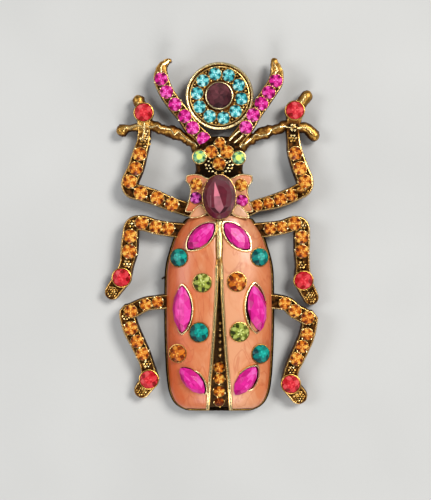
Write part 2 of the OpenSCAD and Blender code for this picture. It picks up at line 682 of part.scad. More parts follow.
// The body under the wing cases, with the ridge that shows between them in front
module both_sides() for (side = [LEFT, RIGHT]) on_side(side) children();
module flange() {
    translate([0, 0, lift]) linear_extrude(flange_t) offset(delta = flange_w)
        both_sides() polygon(body_plan(0));
}
ridge_w = 2 * (wing_w * BACK[0][BACK_IN] - wing_gap);
ridge_l = 0.24 * wing_l;
module ridge_end(y) {
    translate([-ridge_w / 2, y, lift]) cube([ridge_w, ridge_w, back_z(0, y) - lift - wing_gap]);
}
module abdomen() {
    both_sides() intersection() {
        body_prism(wing_wall + wing_gap);
        coarse_back(wing_roof + wing_gap);
    }
    hull() {
        ridge_end(wing_start - ridge_w);
        ridge_end(wing_start - ridge_l);
    }
}
// Ends of the hollow, as shares of wing_l, and the radius of its corners
HOLLOW_ENDS = [0.2, 0.84];
hollow_corner = 2;
module hollow() {
    translate([0, 0, -past]) hull()
        for (x = [-1, 1] * (hollow_w / 2 - hollow_corner), at = HOLLOW_ENDS)
            translate([x, wing_start - at * wing_l, 0])
                cylinder(r = hollow_corner, h = lift + hollow_h + past, $fn = limb_sides);
}
function tail_point(row) = [0, wing_start - row[0] * wing_l];
module tail_at(row) {
    y = tail_point(row).y;
    translate([0, y, back_z(0, y) - wing_roof - wing_gap]) children();
}

// The collar: a recess for the enamel, a cell for each petal and the oval stone's cup
module collar_room() {
    translate([0, 0, collar_z - collar_enamel_t - gap]) linear_extrude(collar_enamel_t + past)
        offset(delta = -collar_rim) collar_plan();
}
module collar() {
    difference() {
        translate([0, 0, lift]) linear_extrude(collar_h) collar_plan();
        collar_room();
    }
    translate([0, 0, lift]) linear_extrude(oval_cup_z + sunk - lift) oval_plan(0, pedestal_share);
    difference() {
        translate([0, 0, oval_cup_z]) linear_extrude(oval_cup_h) oval_plan(cup_wall + gap, 1);
        translate([0, 0, oval_girdle_z - stone_foot - gap]) linear_extrude(oval_cup_h + past)
            oval_plan(gap, 1);
    }
    both_sides() difference() {
        translate([0, 0, collar_z - collar_enamel_t - past / 2])
            linear_extrude(collar_enamel_t + past / 2 + petal_h) petal_plan(petal_wall);
        translate([0, 0, collar_z + petal_floor - gap]) linear_extrude(petal_h + past) petal_plan(0);
    }
}
module stone_oval() {
    color(garnet) translate([oval_at.x, oval_at.y, oval_girdle_z])
        stone(oval_outline(oval_w, oval_l, cup_sides), oval_crown);
}
module stone_collar(i, shade) {
    color(shade) collar_stone_at(COLLAR_STONES[i]) pave_stone(collar_stone_d);
}

// The head, with an upright cup for each eye
head_top = lift + head_h;
head_bevel = 0.5;
function in_head(outline) = [for (p = outline) [p.x * head_w / 2, collar_l + p.y * head_l]];
module head_plan() {
    hull() both_sides() polygon(in_head(HEAD));
}
module head() {
    hull() {
        translate([0, 0, lift]) linear_extrude(head_h - head_bevel) head_plan();
        translate([0, 0, lift]) linear_extrude(head_h) offset(delta = -head_bevel) head_plan();
    }
    for (row = EYES) head_at(row) translate([0, 0, lift - head_top])
        cylinder(d = eye_d + 2 * cup_wall, h = head_h, $fn = cup_sides);
}
module head_at(row) {
    translate([row[0] * head_w / 2, collar_l + row[1] * head_l, head_top]) children();
}

// The round ornament: a plate with a raised edge, a ring of stones and a cup in the middle,
// soldered to an antenna on each side
disc_floor_z = disc_z + disc_t - disc_lip;
disc_cup_h = 0.9;
disc_girdle_z = disc_floor_z + disc_cup_h - girdle_z;
ring_stones = 10;
ring_turn = 101;
solder_row = 3;
solder_share = 0.3;
module ornament() {
    difference() {
        translate([disc_at.x, disc_at.y, disc_z]) cylinder(d = disc_d, h = disc_t, $fn = disc_sides);
        translate([disc_at.x, disc_at.y, disc_floor_z])
            cylinder(d = disc_d - 2 * disc_rim, h = disc_lip + past, $fn = disc_sides);
    }
    difference() {
        translate([0, disc_at.y, disc_floor_z - past / 2])
            cylinder(d = disc_middle_d + 2 * (cup_wall + gap), h = disc_cup_h + past / 2, $fn = cup_sides);
        translate([0, disc_at.y, disc_girdle_z - stone_foot - gap])
            cylinder(d = disc_middle_d + 2 * gap, h = disc_cup_h + past, $fn = cup_sides);
    }
    for (path = ANTENNAE) {
        p = path[solder_row];
        hull() for (share = [0, solder_share])
            translate([p.x + share * (disc_at.x - p.x), p.y + share * (disc_at.y - p.y), disc_z])
                cylinder(d = disc_rim * 2, h = (disc_t - disc_lip) / 2, $fn = limb_sides);
    }
}
module ring_at() {
    for (i = [0:ring_stones - 1])
        translate([0, disc_at.y, disc_floor_z]) rotate([0, 0, ring_turn - 360 * i / ring_stones])
            translate([disc_ring_d / 2, 0, 0]) children();
}
module stone_disc() {
    color(garnet) translate([0, disc_at.y, disc_girdle_z])
        stone(oval_outline(disc_middle_d, disc_middle_d, cup_sides), stone_crown);
}

// The cup of a red stone, which stands on a leg
cup_h = 0.4;
cup_depth = 1.6;
module cup() {
    translate([0, 0, -cup_depth]) cylinder(
        d1 = red_d + cup_wall, d2 = red_d + 2 * (cup_wall + gap), h = cup_depth + cup_h,
        $fn = cup_sides);
}
module cup_seat() {
    translate([0, 0, cup_h - girdle_z - stone_foot - gap])
        cylinder(d = (red_d + 2 * gap) / cos(180 / cup_sides), h = stone_foot + past, $fn = cup_sides);
}
module stone_red(leg) {
    color(red) at_cup(leg) translate([0, 0, cup_h - girdle_z])
        stone(oval_outline(red_d, red_d, stone_sides), stone_crown);
}

module pave(path, shade) {
    color(shade) for (p = path) if (p[STONE] > 0) translate([p.x, p.y, p[TOP]]) pave_stone(p[STONE]);
}
module seats(path) {
    for (p = path) if (p[STONE] > 0) translate([p.x, p.y, p[TOP]]) pave_seat(p[STONE]);
}

module casting() {
    color(gold) difference() {
        union() {
            flange();
            abdomen();
            collar();
            difference() {
                head();
                collar_room();
            }
            ornament();
            for (path = concat([LEGS[0], LEGS[1]], ANTENNAE, PRONGS)) limb(path);
            difference() {
                for (leg = [2:len(LEGS) - 1]) limb(LEGS[leg]);
                wing_room();
            }
            limb(twig_path(0, LEFT));
            limb(twig_path(1, RIGHT));
            for (leg = [0:len(LEGS) - 1]) at_cup(leg) cup();
        }
        for (path = concat(LEGS, ANTENNAE)) seats(path);
        for (leg = [0:len(LEGS) - 1]) at_cup(leg) cup_seat();
        for (row = HEAD_STONES) head_at(row) pave_seat(row[2] * pave_d);
        for (row = EYES) head_at(row) pave_seat(eye_d);
        for (row = COLLAR_STONES) collar_stone_at(row) pave_seat(collar_stone_d);
        for (row = TAIL_STONES) tail_at(row) pave_seat(row[1] * pave_d);
        ring_at() pave_seat(disc_stone_d);
        hollow();
    }
}

// The pin at the back: a plate under the hollow's roof, a hinge, a needle and a catch
pin_top = lift + hollow_h - wing_gap;
pin_front = wing_start - 0.52 * wing_l + pin_plate_l / 2;
pin_block_w = 2;
pin_low = needle_z - 0.7;
needle_tip = 1.5;
module pin_block(y) {
    translate([-pin_block_w / 2, y, pin_low]) cube([pin_block_w, pin_block_l, pin_top - pin_low]);
}
module pin_finding() {
    color(gold) union() {
        translate([-pin_plate_w / 2, pin_front - pin_plate_l, pin_top - pin_plate_t])
            cube([pin_plate_w, pin_plate_l, pin_plate_t]);
        pin_block(pin_front - pin_block_l);
        pin_block(pin_front - pin_plate_l);
        translate([0, pin_front - pin_block_l / 2, needle_z]) rotate([90, 0, 0])
            cylinder(d = needle_d, h = pin_plate_l - pin_block_l / 2, $fn = 32);
        translate([0, pin_front - pin_plate_l, needle_z]) rotate([90, 0, 0])
            cylinder(d1 = needle_d, d2 = needle_d / 3, h = needle_tip, $fn = 32);
    }
}

function shown(name) = node == "all" || node == name;
LEFT_SHADES = [magenta, teal, peridot, magenta, teal, amber, magenta];
RIGHT_SHADES = [magenta, teal, amber, magenta, peridot, teal, magenta];
COLLAR_SHADES = [amber, purple, amber, magenta];

translate(middle) {
    if (shown("casting")) casting();
    if (shown("elytron_left")) elytron(LEFT, LEFT_STONES);
    if (shown("elytron_right")) elytron(RIGHT, RIGHT_STONES);
    if (shown("enamel_left")) enamel(LEFT, LEFT_STONES);
    if (shown("enamel_right")) enamel(RIGHT, RIGHT_STONES);
    if (shown("enamel_collar_left")) enamel_collar(LEFT);
    if (shown("enamel_collar_right")) enamel_collar(RIGHT);
    if (shown("petal_left")) petal(LEFT);
    if (shown("petal_right")) petal(RIGHT);
    if (shown("pin_finding")) pin_finding();
    if (shown("stone_oval")) stone_oval();
    if (shown("stone_disc")) stone_disc();
    if (shown("stone_eye_left")) color(lime) head_at(EYES[0]) pave_stone(eye_d);
    if (shown("stone_eye_right")) color(lime) head_at(EYES[1]) pave_stone(eye_d);
    if (shown("pave_disc")) color(aqua) ring_at() pave_stone(disc_stone_d);
    if (shown("pave_head")) color(amber) for (row = HEAD_STONES) head_at(row) pave_stone(row[2] * pave_d);
    if (shown("pave_tail")) color(amber) for (row = TAIL_STONES) tail_at(row) pave_stone(row[1] * pave_d);
    if (shown("pave_antenna_left")) pave(ANTENNAE[0], magenta);
    if (shown("pave_antenna_right")) pave(ANTENNAE[1], magenta);
    for (i = [0:6]) if (shown(str("stone_left_", i + 1))) set_stone(LEFT, LEFT_STONES[i], LEFT_SHADES[i]);
    for (i = [0:6]) if (shown(str("stone_right_", i + 1)))
        set_stone(RIGHT, RIGHT_STONES[i], RIGHT_SHADES[i]);
    for (i = [0:3]) if (shown(str("stone_collar_", i + 1))) stone_collar(i, COLLAR_SHADES[i]);
    for (leg = [0:5]) if (shown(str("stone_red_", LEG_NAMES[leg]))) stone_red(leg);
    for (leg = [0:5]) if (shown(str("pave_leg_", LEG_NAMES[leg]))) pave(LEGS[leg], amber);
}
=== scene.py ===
"""A jewelled beetle brooch, lying face up on a pale floor.

The CAD frame gives each place in metres. Shapes are made in millimetres, measured from the beetle's
middle line (x), from the back edge of its collar (y) and from the surface under its feet (z).
"""
import math
import random

import bpy
import numpy as np
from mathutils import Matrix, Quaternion, Vector


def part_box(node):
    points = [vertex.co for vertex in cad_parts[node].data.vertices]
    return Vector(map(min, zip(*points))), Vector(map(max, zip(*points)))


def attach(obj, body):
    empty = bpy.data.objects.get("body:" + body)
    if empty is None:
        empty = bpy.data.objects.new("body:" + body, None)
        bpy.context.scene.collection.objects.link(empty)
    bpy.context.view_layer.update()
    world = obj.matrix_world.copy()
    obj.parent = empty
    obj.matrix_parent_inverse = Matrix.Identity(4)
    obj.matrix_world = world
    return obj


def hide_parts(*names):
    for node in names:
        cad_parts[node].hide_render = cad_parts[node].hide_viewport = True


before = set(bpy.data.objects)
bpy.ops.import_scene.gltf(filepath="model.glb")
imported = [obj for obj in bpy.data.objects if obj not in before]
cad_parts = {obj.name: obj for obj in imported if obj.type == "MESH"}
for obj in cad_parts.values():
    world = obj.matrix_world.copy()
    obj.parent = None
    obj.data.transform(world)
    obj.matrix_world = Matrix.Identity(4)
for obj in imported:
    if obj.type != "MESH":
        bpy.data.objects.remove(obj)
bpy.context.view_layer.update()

MM = 0.001
# Where the middle of the oval stone lies, from the back edge of the collar
OVAL_Y = 4.4
TINY = 1e-6
chance = random.Random(11)
scene = bpy.context.scene


def centre(node):
    low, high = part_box(node)
    return (low + high) / 2


MIDDLE = Vector((centre("pin_finding").x, centre("stone_oval").y - OVAL_Y * MM, 0))


# Shapes: points and faces in millimetres, with a tone for each face or point

# Edges sharper than this aren't shaded smooth
SHARP = math.radians(38)


class Shape:
    """A mesh in the making. A tone runs from 0, a dark recess, to 1, a bright edge, and above 1 to
    the palest wear. Some tones are painted light and shade: shade on walls that face away from the
    light, highlights on crests, and the light of each facet of a cut stone."""

    def __init__(self, facets=False):
        self.points = []
        self.faces = []
        self.tones = []
        self.facets = facets

    def add(self, points, faces, tones):
        """tones has one number a point, or one a face if the shape is made of facets."""
        first = len(self.points)
        self.points += [Vector(p) for p in points]
        self.faces += [[first + i for i in face] for face in faces]
        self.tones += list(tones)

    def make(self, name, slot, material, nodes):
        mesh = bpy.data.meshes.new(name)
        mesh.from_pydata([p * MM + MIDDLE for p in self.points], [], self.faces)
        mesh.validate()
        domain = "FACE" if self.facets else "POINT"
        tone = mesh.attributes.new("tone", "FLOAT", domain)
        tone.data.foreach_set("value", np.array(self.tones, dtype=np.float32))
        mesh.polygons.foreach_set("use_smooth", [not self.facets] * len(mesh.polygons))
        if not self.facets:
            mesh.set_sharp_from_angle(angle=SHARP)
        mesh.materials.append(material)
        piece = bpy.data.objects.new(name, mesh)
        scene.collection.objects.link(piece)
        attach(piece, "root")
        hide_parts(*nodes)


def grid_faces(rows, columns, closed=False):
    """Faces between rows of points. closed joins each row's last point to its first."""
    faces = []
    for r in range(rows - 1):
        for c in range(columns if closed else columns - 1):
            a = r * columns + c
            b = r * columns + (c + 1) % columns
            faces.append([a, b, b + columns, a + columns])
    return faces


def ring_faces(count, n, caps=True):
    """Faces between closed rings of n points, with or without a face at each end."""
    faces = grid_faces(count, n, closed=True)
    if caps:
        faces += [list(range(n))[::-1], [n * (count - 1) + i for i in range(n)]]
    return faces


def loft(shape, rings, tones, caps=True):
    """A surface through closed rings of equally many points, with one tone a ring."""
    n = len(rings[0])
    points = [p for ring in rings for p in ring]
    shape.add(points, ring_faces(len(rings), n, caps), [tone for tone in tones for _ in range(n)])


def smooth_curve(points, step, closed=False):
    """Rows of numbers along a smooth curve through rows of numbers, about step apart in x and y."""
    rows = [np.array(p, dtype=float) for p in points]
    count = len(rows)
    made = []
    for i in range(count if closed else count - 1):
        if closed:
            a, b, c, d = (rows[(i + k) % count] for k in (-1, 0, 1, 2))
        else:
            b, c = rows[i], rows[i + 1]
            a = rows[i - 1] if i else 2 * b - c
            d = rows[i + 2] if i + 2 < count else 2 * c - b
        pieces = max(1, round(float(np.linalg.norm((c - b)[:2])) / step))
        for k in range(pieces):
            t = k / pieces
            made.append(0.5 * (2 * b + (c - a) * t + (2 * a - 5 * b + 4 * c - d) * t * t
                               + (3 * b - a - 3 * c + d) * t ** 3))
    if not closed:
        made.append(rows[-1])
    return made


BEAD_ROUND = 8
BEAD_RINGS = 4
# How wide the flat at a bead's poles is, as a share of half a turn
POLE = 0.06


def bead(shape, place, radius, tone=0.95):
    """A small ball of metal."""
    rings = []
    for k in range(BEAD_RINGS + 1):
        a = math.pi * (POLE + (1 - 2 * POLE) * k / BEAD_RINGS)
        rings.append([Vector(place) + radius * Vector((
            math.sin(a) * math.cos(2 * math.pi * i / BEAD_ROUND),
            math.sin(a) * math.sin(2 * math.pi * i / BEAD_ROUND),
            -math.cos(a))) for i in range(BEAD_ROUND)])
    loft(shape, rings, [tone] * len(rings))


# How far apart packed beads are, in radii, and their rows, as a share of that
PITCH = 1.9
ROW_SHARE = 0.87


def bead_patch(shape, place, spread, radius=0.36, tone=0.9):
    """Beads packed side by side over a round patch."""
    pitch = PITCH * radius
    rows = int(spread / pitch) + 1
    for r in range(-rows, rows + 1):
        for c in range(-rows - 1, rows + 2):
            offset = Vector((pitch * (c + 0.5 * (r % 2)), ROW_SHARE * pitch * r, 0))
            if offset.length <= spread:
                size = radius * chance.uniform(0.7, 1.0)
                bead(shape, Vector(place) + offset, size, tone * chance.uniform(0.5, 1.4))


WIRE_SIDES = 6


def wire(shape, points, radius, tone=1.0, closed=False):
    """A round wire along points in space. tone is one number, or one for each point."""
    points = [Vector(p) for p in points]
    n = len(points)
    rings = []
    for i, p in enumerate(points):
        before = points[i - 1] if i or closed else p
        after = points[(i + 1) % n] if i < n - 1 or closed else p
        run = (after - before).normalized()
        side = run.cross(Vector((0, 0, 1)))
        side = side.normalized() if side.length > TINY else Vector((1, 0, 0))
        up = side.cross(run)
        rings.append([p + radius * (math.cos(a) * side + math.sin(a) * up)
                      for a in (2 * math.pi * k / WIRE_SIDES for k in range(WIRE_SIDES))])
    if closed:
        rings.append(rings[0])
    tones = tone if isinstance(tone, list) else [tone] * len(rings)
    loft(shape, rings, tones, not closed)


# Limbs: a section swept along a smooth path

# The section's right half: share of the half width, share of the height, then how far below that
# in a limb that is a channel for stones, and tone
LIMB_SECTION = [
    (0.00, 0.00, 0.00, 0.20), (0.66, 0.00, 0.00, 0.20), (0.92, 0.14, 0.00, 0.28),
    (1.00, 0.40, 0.00, 0.42), (1.00, 0.66, 0.00, 0.45), (0.95, 0.88, 0.00, 0.55),
    (0.89, 0.99, 0.00, 0.95), (0.81, 1.00, 0.00, 1.00), (0.74, 1.00, 0.14, 0.60),
    (0.64, 1.00, 0.40, 0.22), (0.00, 1.00, 0.48, 0.12)]
# How far the wall that faces the middle of the brooch leans outwards, as a share of the half width
LEAN = 0.16
# How much darker a wall is that faces the middle or the front of the brooch, as painted shade
PAINTED_WALL_SHADE = 0.6
# How far the top of a limb without a channel stands up in its middle
CROWN = 0.25
# A plain limb, rounded on top, and a bar worn nearly flat: width, height and tone
ROUND_SECTION = [
    (0.00, 0.00, 0.25), (0.60, 0.00, 0.25), (0.92, 0.20, 0.35), (1.00, 0.48, 0.55),
    (0.92, 0.72, 0.65), (0.70, 0.90, 0.85), (0.36, 0.99, 1.00), (0.00, 1.00, 0.95)]
BAR_SECTION = [
    (0.00, 0.00, 0.25), (0.80, 0.00, 0.25), (0.98, 0.30, 0.35), (1.00, 0.80, 0.70),
    (0.96, 0.93, 0.95), (0.84, 0.98, 1.05), (0.45, 1.00, 1.05), (0.00, 1.01, 1.00)]
STEP = 0.4
# The round ends: steps, how far their top comes down as a share of the height, and the width left
END_STEPS = 7
END_DROP = 0.4
END_LEFT = 0.04
# How uneven the ends of a channelled limb are, where it has no channel
LUMPS = 0.14
# How much of a lump dents the surface, and how much a dent's height adds to the tone
DENT_SHARE = 0.6
DENT_TONE = 1.2
# Beyond these shares of the half width lie the shoulders, which don't stand up, and the walls
SHOULDER = 0.9
WALL = 0.86
# The least tone of a channel's floor where there is no channel
PLAIN_TONE = 0.55
# Spots of painted shade between the claws of the right front leg: x, y, radius and what is left of
# the tone in the middle
SHADE_SPOTS = [(16.8, 20.3, 2.6, 0.25), (16.7, 18.0, 1.6, 0.7)]


# Painted shade: the share of the tone left at a place by the spots of painted shade
def patina(place):
    left = 1.0
    for x, y, radius, share in SHADE_SPOTS:
        near = max(0.0, 1 - math.hypot(place.x - x, place.y - y) / radius)
        left *= 1 - (1 - share) * min(1.0, 2 * near)
    return left


def whole_section(half):
    """Both halves of a section, once round it, with no drop where it gives none."""
    half = [(u, level, *(drop or [0.0]), tone) for u, level, *drop, tone in half]
    return half + [(-u, *rest) for u, *rest in half[-2:0:-1]]


def sweep(shape, rows, half, round_first=False, rough=0.0, worn=1.0):
    """A limb through rows of x, y, top, low and width, then 0 where it has no channel. worn scales
    its tones."""
    stations = smooth_curve([row if len(row) > 5 else (*row, 1) for row in rows], STEP)
    runs = []
    for i in range(len(stations)):
        before, after = stations[max(i - 1, 0)], stations[min(i + 1, len(stations) - 1)]
        runs.append(Vector((after[0] - before[0], after[1] - before[1])).normalized())
    line = [(Vector(s[:2]), run, s[2], max(0.0, s[3]), s[4] / 2, 1.0, min(1, max(0, s[5])))
            for s, run in zip(stations, runs)]

    def end(place, run, top, low, wide, _, channel):
        turns = [math.pi / 2 * (k + 1) / END_STEPS for k in range(END_STEPS)]
        return [(place + run * wide * math.sin(a), run,
                 low + (top - low) * (1 - END_DROP + END_DROP * math.cos(a)),
                 low, wide, max(END_LEFT, math.cos(a)), channel * math.cos(a)) for a in turns]

    line += end(*line[-1])
    if round_first:
        place, run, *rest = line[0]
        line = [(p, run, *more) for p, _, *more in end(place, -run, *rest)][::-1] + line
    section = whole_section(half)
    rings = []
    tones = []
    for place, run, top, low, wide, share, channel in line:
        across = Vector((-run.y, run.x))
        outward = across.dot(place.normalized())
        lumps = rough if half is ROUND_SECTION else LUMPS * (1 - channel)
        jog = chance.uniform(-lumps, lumps)
        ring = []
        for u, level, drop, tone in section:
            inner = max(0.0, -outward * math.copysign(1, u))
            slant = 1 - LEAN * inner * level * level
            flat = place + across * (u * slant * wide * share + jog)
            dent = chance.uniform(-lumps, lumps) * DENT_SHARE * level
            stands = drop or u < SHOULDER and level == 1
            crown = CROWN * (1 - channel) * (1 - u * u) * share if stands else 0
            z = low + (top - low) * level - drop * channel + crown + dent
            ring.append(Vector((flat.x, flat.y, z)))
            plain = max(tone, PLAIN_TONE) if drop else tone
            # Painted shade: walls that face the middle or the front are darker, and so are the spots
            shaded = PAINTED_WALL_SHADE * max(inner, across.y * math.copysign(1, u)) if abs(u) > WALL else 0
            tone = tone * channel + plain * (1 - channel) + DENT_TONE * dent
            tones.append(worn * patina(flat) * max(0, tone * (1 - shaded)))
        rings.append(ring)
    shape.add([p for ring in rings for p in ring], ring_faces(len(rings), len(section)), tones)


# Stones, read from the frame

# How far a stone's girdle is above the lowest point of its CAD solid
STONE_FOOT = 0.7
# A stone is round below the first length for its width, and pointed above the second
ROUND_BELOW = 1.2
POINTED_ABOVE = 1.6
# How far a pointed stone's outline is from a lens, 0, towards an oval, 1
BLUNT = 0.35
# How much faster a pointed stone's tips move out than its sides do
TIP_GROW = 1.5
# How much shorter a pointed stone is than its blank, whose tips are sharp
TIP_SHARE = 0.95


def islands(node):
    """The loose solids of a CAD node, each as its corners in millimetres."""
    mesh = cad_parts[node].data
    keys = [tuple(round(c / MM, 3) for c in v.co - MIDDLE) for v in mesh.vertices]
    group = {key: key for key in keys}

    def root(key):
        while group[key] != key:
            key = group[key]
        return key

    for polygon in mesh.polygons:
        first = root(keys[polygon.vertices[0]])
        for i in polygon.vertices[1:]:
            group[root(keys[i])] = first
    found = {}
    for key in group:
        found.setdefault(root(key), []).append(key)
    return [np.array(sorted(corners)) for _, corners in sorted(found.items())]


class Stone:
    """Where a CAD stone lies: place is the middle of its girdle, and along is its long way."""

    def __init__(self, corners):
        middle = corners.mean(axis=0)
        _, ways = np.linalg.eigh(np.cov((corners - middle).T))
        up = Vector(ways[:, 0])
        self.up = up if up.z > 0 else -up
        along = Vector(ways[:, 2])
        along = along if along.y > 0 else -along
        side = self.up.cross(along)
        spans = [[(Vector(c) - Vector(middle)).dot(way) for c in corners]
                 for way in (along, side, self.up)]
        self.length = max(spans[0]) - min(spans[0])
        self.width = max(spans[1]) - min(spans[1])
        self.round = self.length < ROUND_BELOW * self.width
        if self.round:
            reach = max(math.hypot(a, b) for a, b in zip(spans[0], spans[1]))
            self.length = self.width = 2 * reach
            along = Vector((1, 0, 0)) - self.up * self.up.x
            along.normalize()
            side = self.up.cross(along)
        self.pointed = self.length > POINTED_ABOVE * self.width
        if self.pointed:
            self.length *= TIP_SHARE
        self.along = along
        self.side = side
        self.place = Vector(middle) + self.up * (min(spans[2]) + STONE_FOOT)
        self.crown = max(spans[2]) - min(spans[2]) - STONE_FOOT

    def at(self, u, v, h):
        return self.place + self.along * u + self.side * v + self.up * h

    def swell(self, grow):
        self.length += 2 * grow
        self.width += 2 * grow

    def level(self, share, lift):
        """Turns the stone part of the way to lie flat, and lifts it."""
        up = self.up.lerp(Vector((0, 0, 1)), share).normalized()
        turn = self.up.rotation_difference(up)
        self.along.rotate(turn)
        self.side.rotate(turn)
        self.up = up
        self.place = self.place + up * lift

    def halves(self, grow):
        """Half its length and half its width; grow is in millimetres."""
        tip = TIP_GROW if self.pointed else 1.0
        return self.length / 2 + tip * grow, self.width / 2 + grow

    def breadth(self, u, grow=0.0):
        """Half its width at a place along it. A pointed stone lies between a lens and an oval."""
        a, b = self.halves(grow)
        oval = b * math.sqrt(max(0, 1 - (u / a) ** 2))
        if not self.pointed:
            return oval
        radius = (a * a + b * b) / (2 * b)
        lens = math.sqrt(max(0, radius * radius - u * u)) - radius + b
        return max(0, lens + BLUNT * (oval - lens))

    def edge(self, turn, grow=0.0, share=1.0):
        """A point of the outline in the stone's plane."""
        u = self.halves(grow)[0] * math.cos(turn)
        return share * u, share * math.copysign(self.breadth(u, grow), math.sin(turn))

    def turn(self, degrees):
        """Turns the stone about its own axis, anticlockwise as seen from above."""
        spin = Quaternion(self.up, math.radians(degrees))
        self.along.rotate(spin)
        self.side.rotate(spin)


def stones(node):
    return [Stone(corners) for corners in islands(node)]


# A cut stone's rings: share of its outline, share of the crown's height
TABLE = 0.58
ROUND_TABLE = 0.46
HEART = 0.30
KITE_H = 0.52
GIRDLE_H = 0.16
# How far the kites' corners lie outside the middle between table and girdle
KITE_OUT = 0.02
# Tones of the facets, painted light, for even and odd ones where they differ, and how far they vary
BACK_TONES = (0.8, 0.3)
EDGE_TONES = (0.35, 0.5)
STAR_TONE = 0.65
KITE_TONES = (0.9, 0.1)
GIRDLE_TONES = (0.65, 0.15)
UNDER_TONE = 0.2
TONE_SPREAD = 0.2


def gem(shape, stone, contrast=1.1, base=0.55, folds=8, table=None, plain_table=None, glow=0.25,
        lit=None, rim=0.0):
    """A cut stone: a table, star, kite and girdle facets, and a pointed back. Each facet's tone is
    painted light. The table shows the back's facets as a painted star of light and dark, or has the one
    tone of plain_table. The side at the angle lit is the brighter by glow, a painted light, and the
    facets at the edge are the darker by rim, a painted shade."""
    turn = 2 * math.pi / folds
    start = 0 if stone.pointed else chance.uniform(0, turn)
    if table is None:
        table = ROUND_TABLE if stone.round else TABLE

    def ring(share, height, offset, count):
        return [stone.at(*stone.edge(start + offset + 2 * math.pi * i / count, share=share), height)
                for i in range(count)]

    crown = stone.crown
    flat = ring(table, crown, 0, folds)
    heart = ring(HEART, crown, turn / 2, folds)
    kite = ring((table + 1) / 2 + KITE_OUT, KITE_H * crown, turn / 2, folds)
    girdle = ring(1.0, GIRDLE_H * crown, 0, 2 * folds)
    lower = ring(1.0, 0.0, 0, 2 * folds)
    points = [stone.at(0, 0, crown), *heart, *flat, *kite, *girdle, *lower,
              stone.at(0, 0, -STONE_FOOT)]
    h, t, k, g, low = (1, 1 + folds, 1 + 2 * folds, 1 + 3 * folds, 1 + 5 * folds)
    last = len(points) - 1
    last_inner = k - 1
    faces = []
    tones = []
    lit = chance.uniform(0, 2 * math.pi) if lit is None else math.radians(lit)

    def facet(corners, tone, fixed=None):
        faces.append(corners)
        middle = sum((points[i] for i in corners), Vector()) / len(corners) - stone.place
        # Painted light: brighter towards the angle lit, and darker at the edge facets
        turned = (math.cos(lit) * middle.x + math.sin(lit) * middle.y) / (stone.width / 2)
        varied = tone - 0.5 + chance.uniform(-TONE_SPREAD, TONE_SPREAD)
        tone = base + contrast * varied + glow * turned
        if max(corners) > last_inner:
            tone -= rim
        tones.append(tone if fixed is None else fixed)

    for i in range(folds):
        j = (i + 1) % folds
        before = (i - 1) % folds
        facet([0, h + before, h + i], BACK_TONES[i % 2], plain_table)
        facet([h + before, t + i, h + i], BACK_TONES[i % 2], plain_table)
        facet([h + i, t + i, t + j], EDGE_TONES[i % 2], plain_table)
        facet([t + i, k + i, t + j], STAR_TONE)
        facet([t + i, k + before, g + 2 * i, k + i], KITE_TONES[i % 2])
        facet([k + i, g + 2 * i, g + 2 * i + 1], GIRDLE_TONES[0])
        facet([k + i, g + 2 * i + 1, g + (2 * i + 2) % (2 * folds)], GIRDLE_TONES[1])
    for i in range(2 * folds):
        j = (i + 1) % (2 * folds)
        facet([g + i, low + i, low + j, g + j], UNDER_TONE)
        facet([low + i, last, low + j], UNDER_TONE)
    shape.add(points, faces, tones)


# Settings: how far outside the stone, how high above its girdle, and tone, once round the wall
CUP = [(-0.05, -0.60, 0.0), (0.24, -0.60, 0.2), (0.25, -0.05, 0.6), (0.18, 0.10, 0.9),
       (0.08, 0.12, 0.9), (0.00, 0.00, 0.0)]
BEZEL = [(-0.05, -0.60, 0.0), (0.42, -0.75, 0.5), (0.40, 0.12, 1.2), (0.32, 0.30, 1.6),
         (0.14, 0.33, 1.6), (0.04, 0.16, 0.2)]
PAVE_CUP = [(-0.05, -0.60, 0.0), (0.15, -0.60, 0.2), (0.16, -0.05, 0.5), (0.11, 0.10, 0.9),
            (0.04, 0.11, 0.9), (-0.02, 0.00, 0.0)]
THIN_CUP = [(-0.05, -0.60, 0.0), (0.18, -2.00, 0.1), (0.18, -0.10, 0.3), (0.14, 0.10, 0.9),
            (0.06, 0.12, 0.9), (0.00, 0.02, 0.1)]
TALL_CUP = [(-0.05, -0.60, 0.0), (0.30, -1.75, 0.1), (0.32, -0.10, 0.5), (0.26, 0.14, 0.9),
            (0.10, 0.20, 1.0), (0.00, 0.06, 0.1)]


def wall(shape, section, ring, worn=1.0):
    """A wall with a closed section. ring(out, high) gives its points at one place of the section,
    and worn scales its tones."""
    whole = section + section[:1]
    loft(shape, [ring(out, high) for out, high, _ in whole], [worn * tone for _, _, tone in whole],
         caps=False)


def setting(shape, stone, section, steps=28, worn=1.0):
    """A wall that fits its stone."""
    wall(shape, section, lambda out, high: [
        stone.at(*stone.edge(2 * math.pi * i / steps, grow=out), high) for i in range(steps)], worn)


# Over how many degrees a wall goes under its stone, how far outside the stone's edge it then is, and
# how high above the girdle
FADE = 18
TUCKED = -0.05
UNDER_GIRDLE = -0.1
# The seat that shows in a wide wall, nearly black: a painted shadow in the gap round the stone
SEAT_DROP = -0.25
SEAT_SHADOW_TONE = 0.05


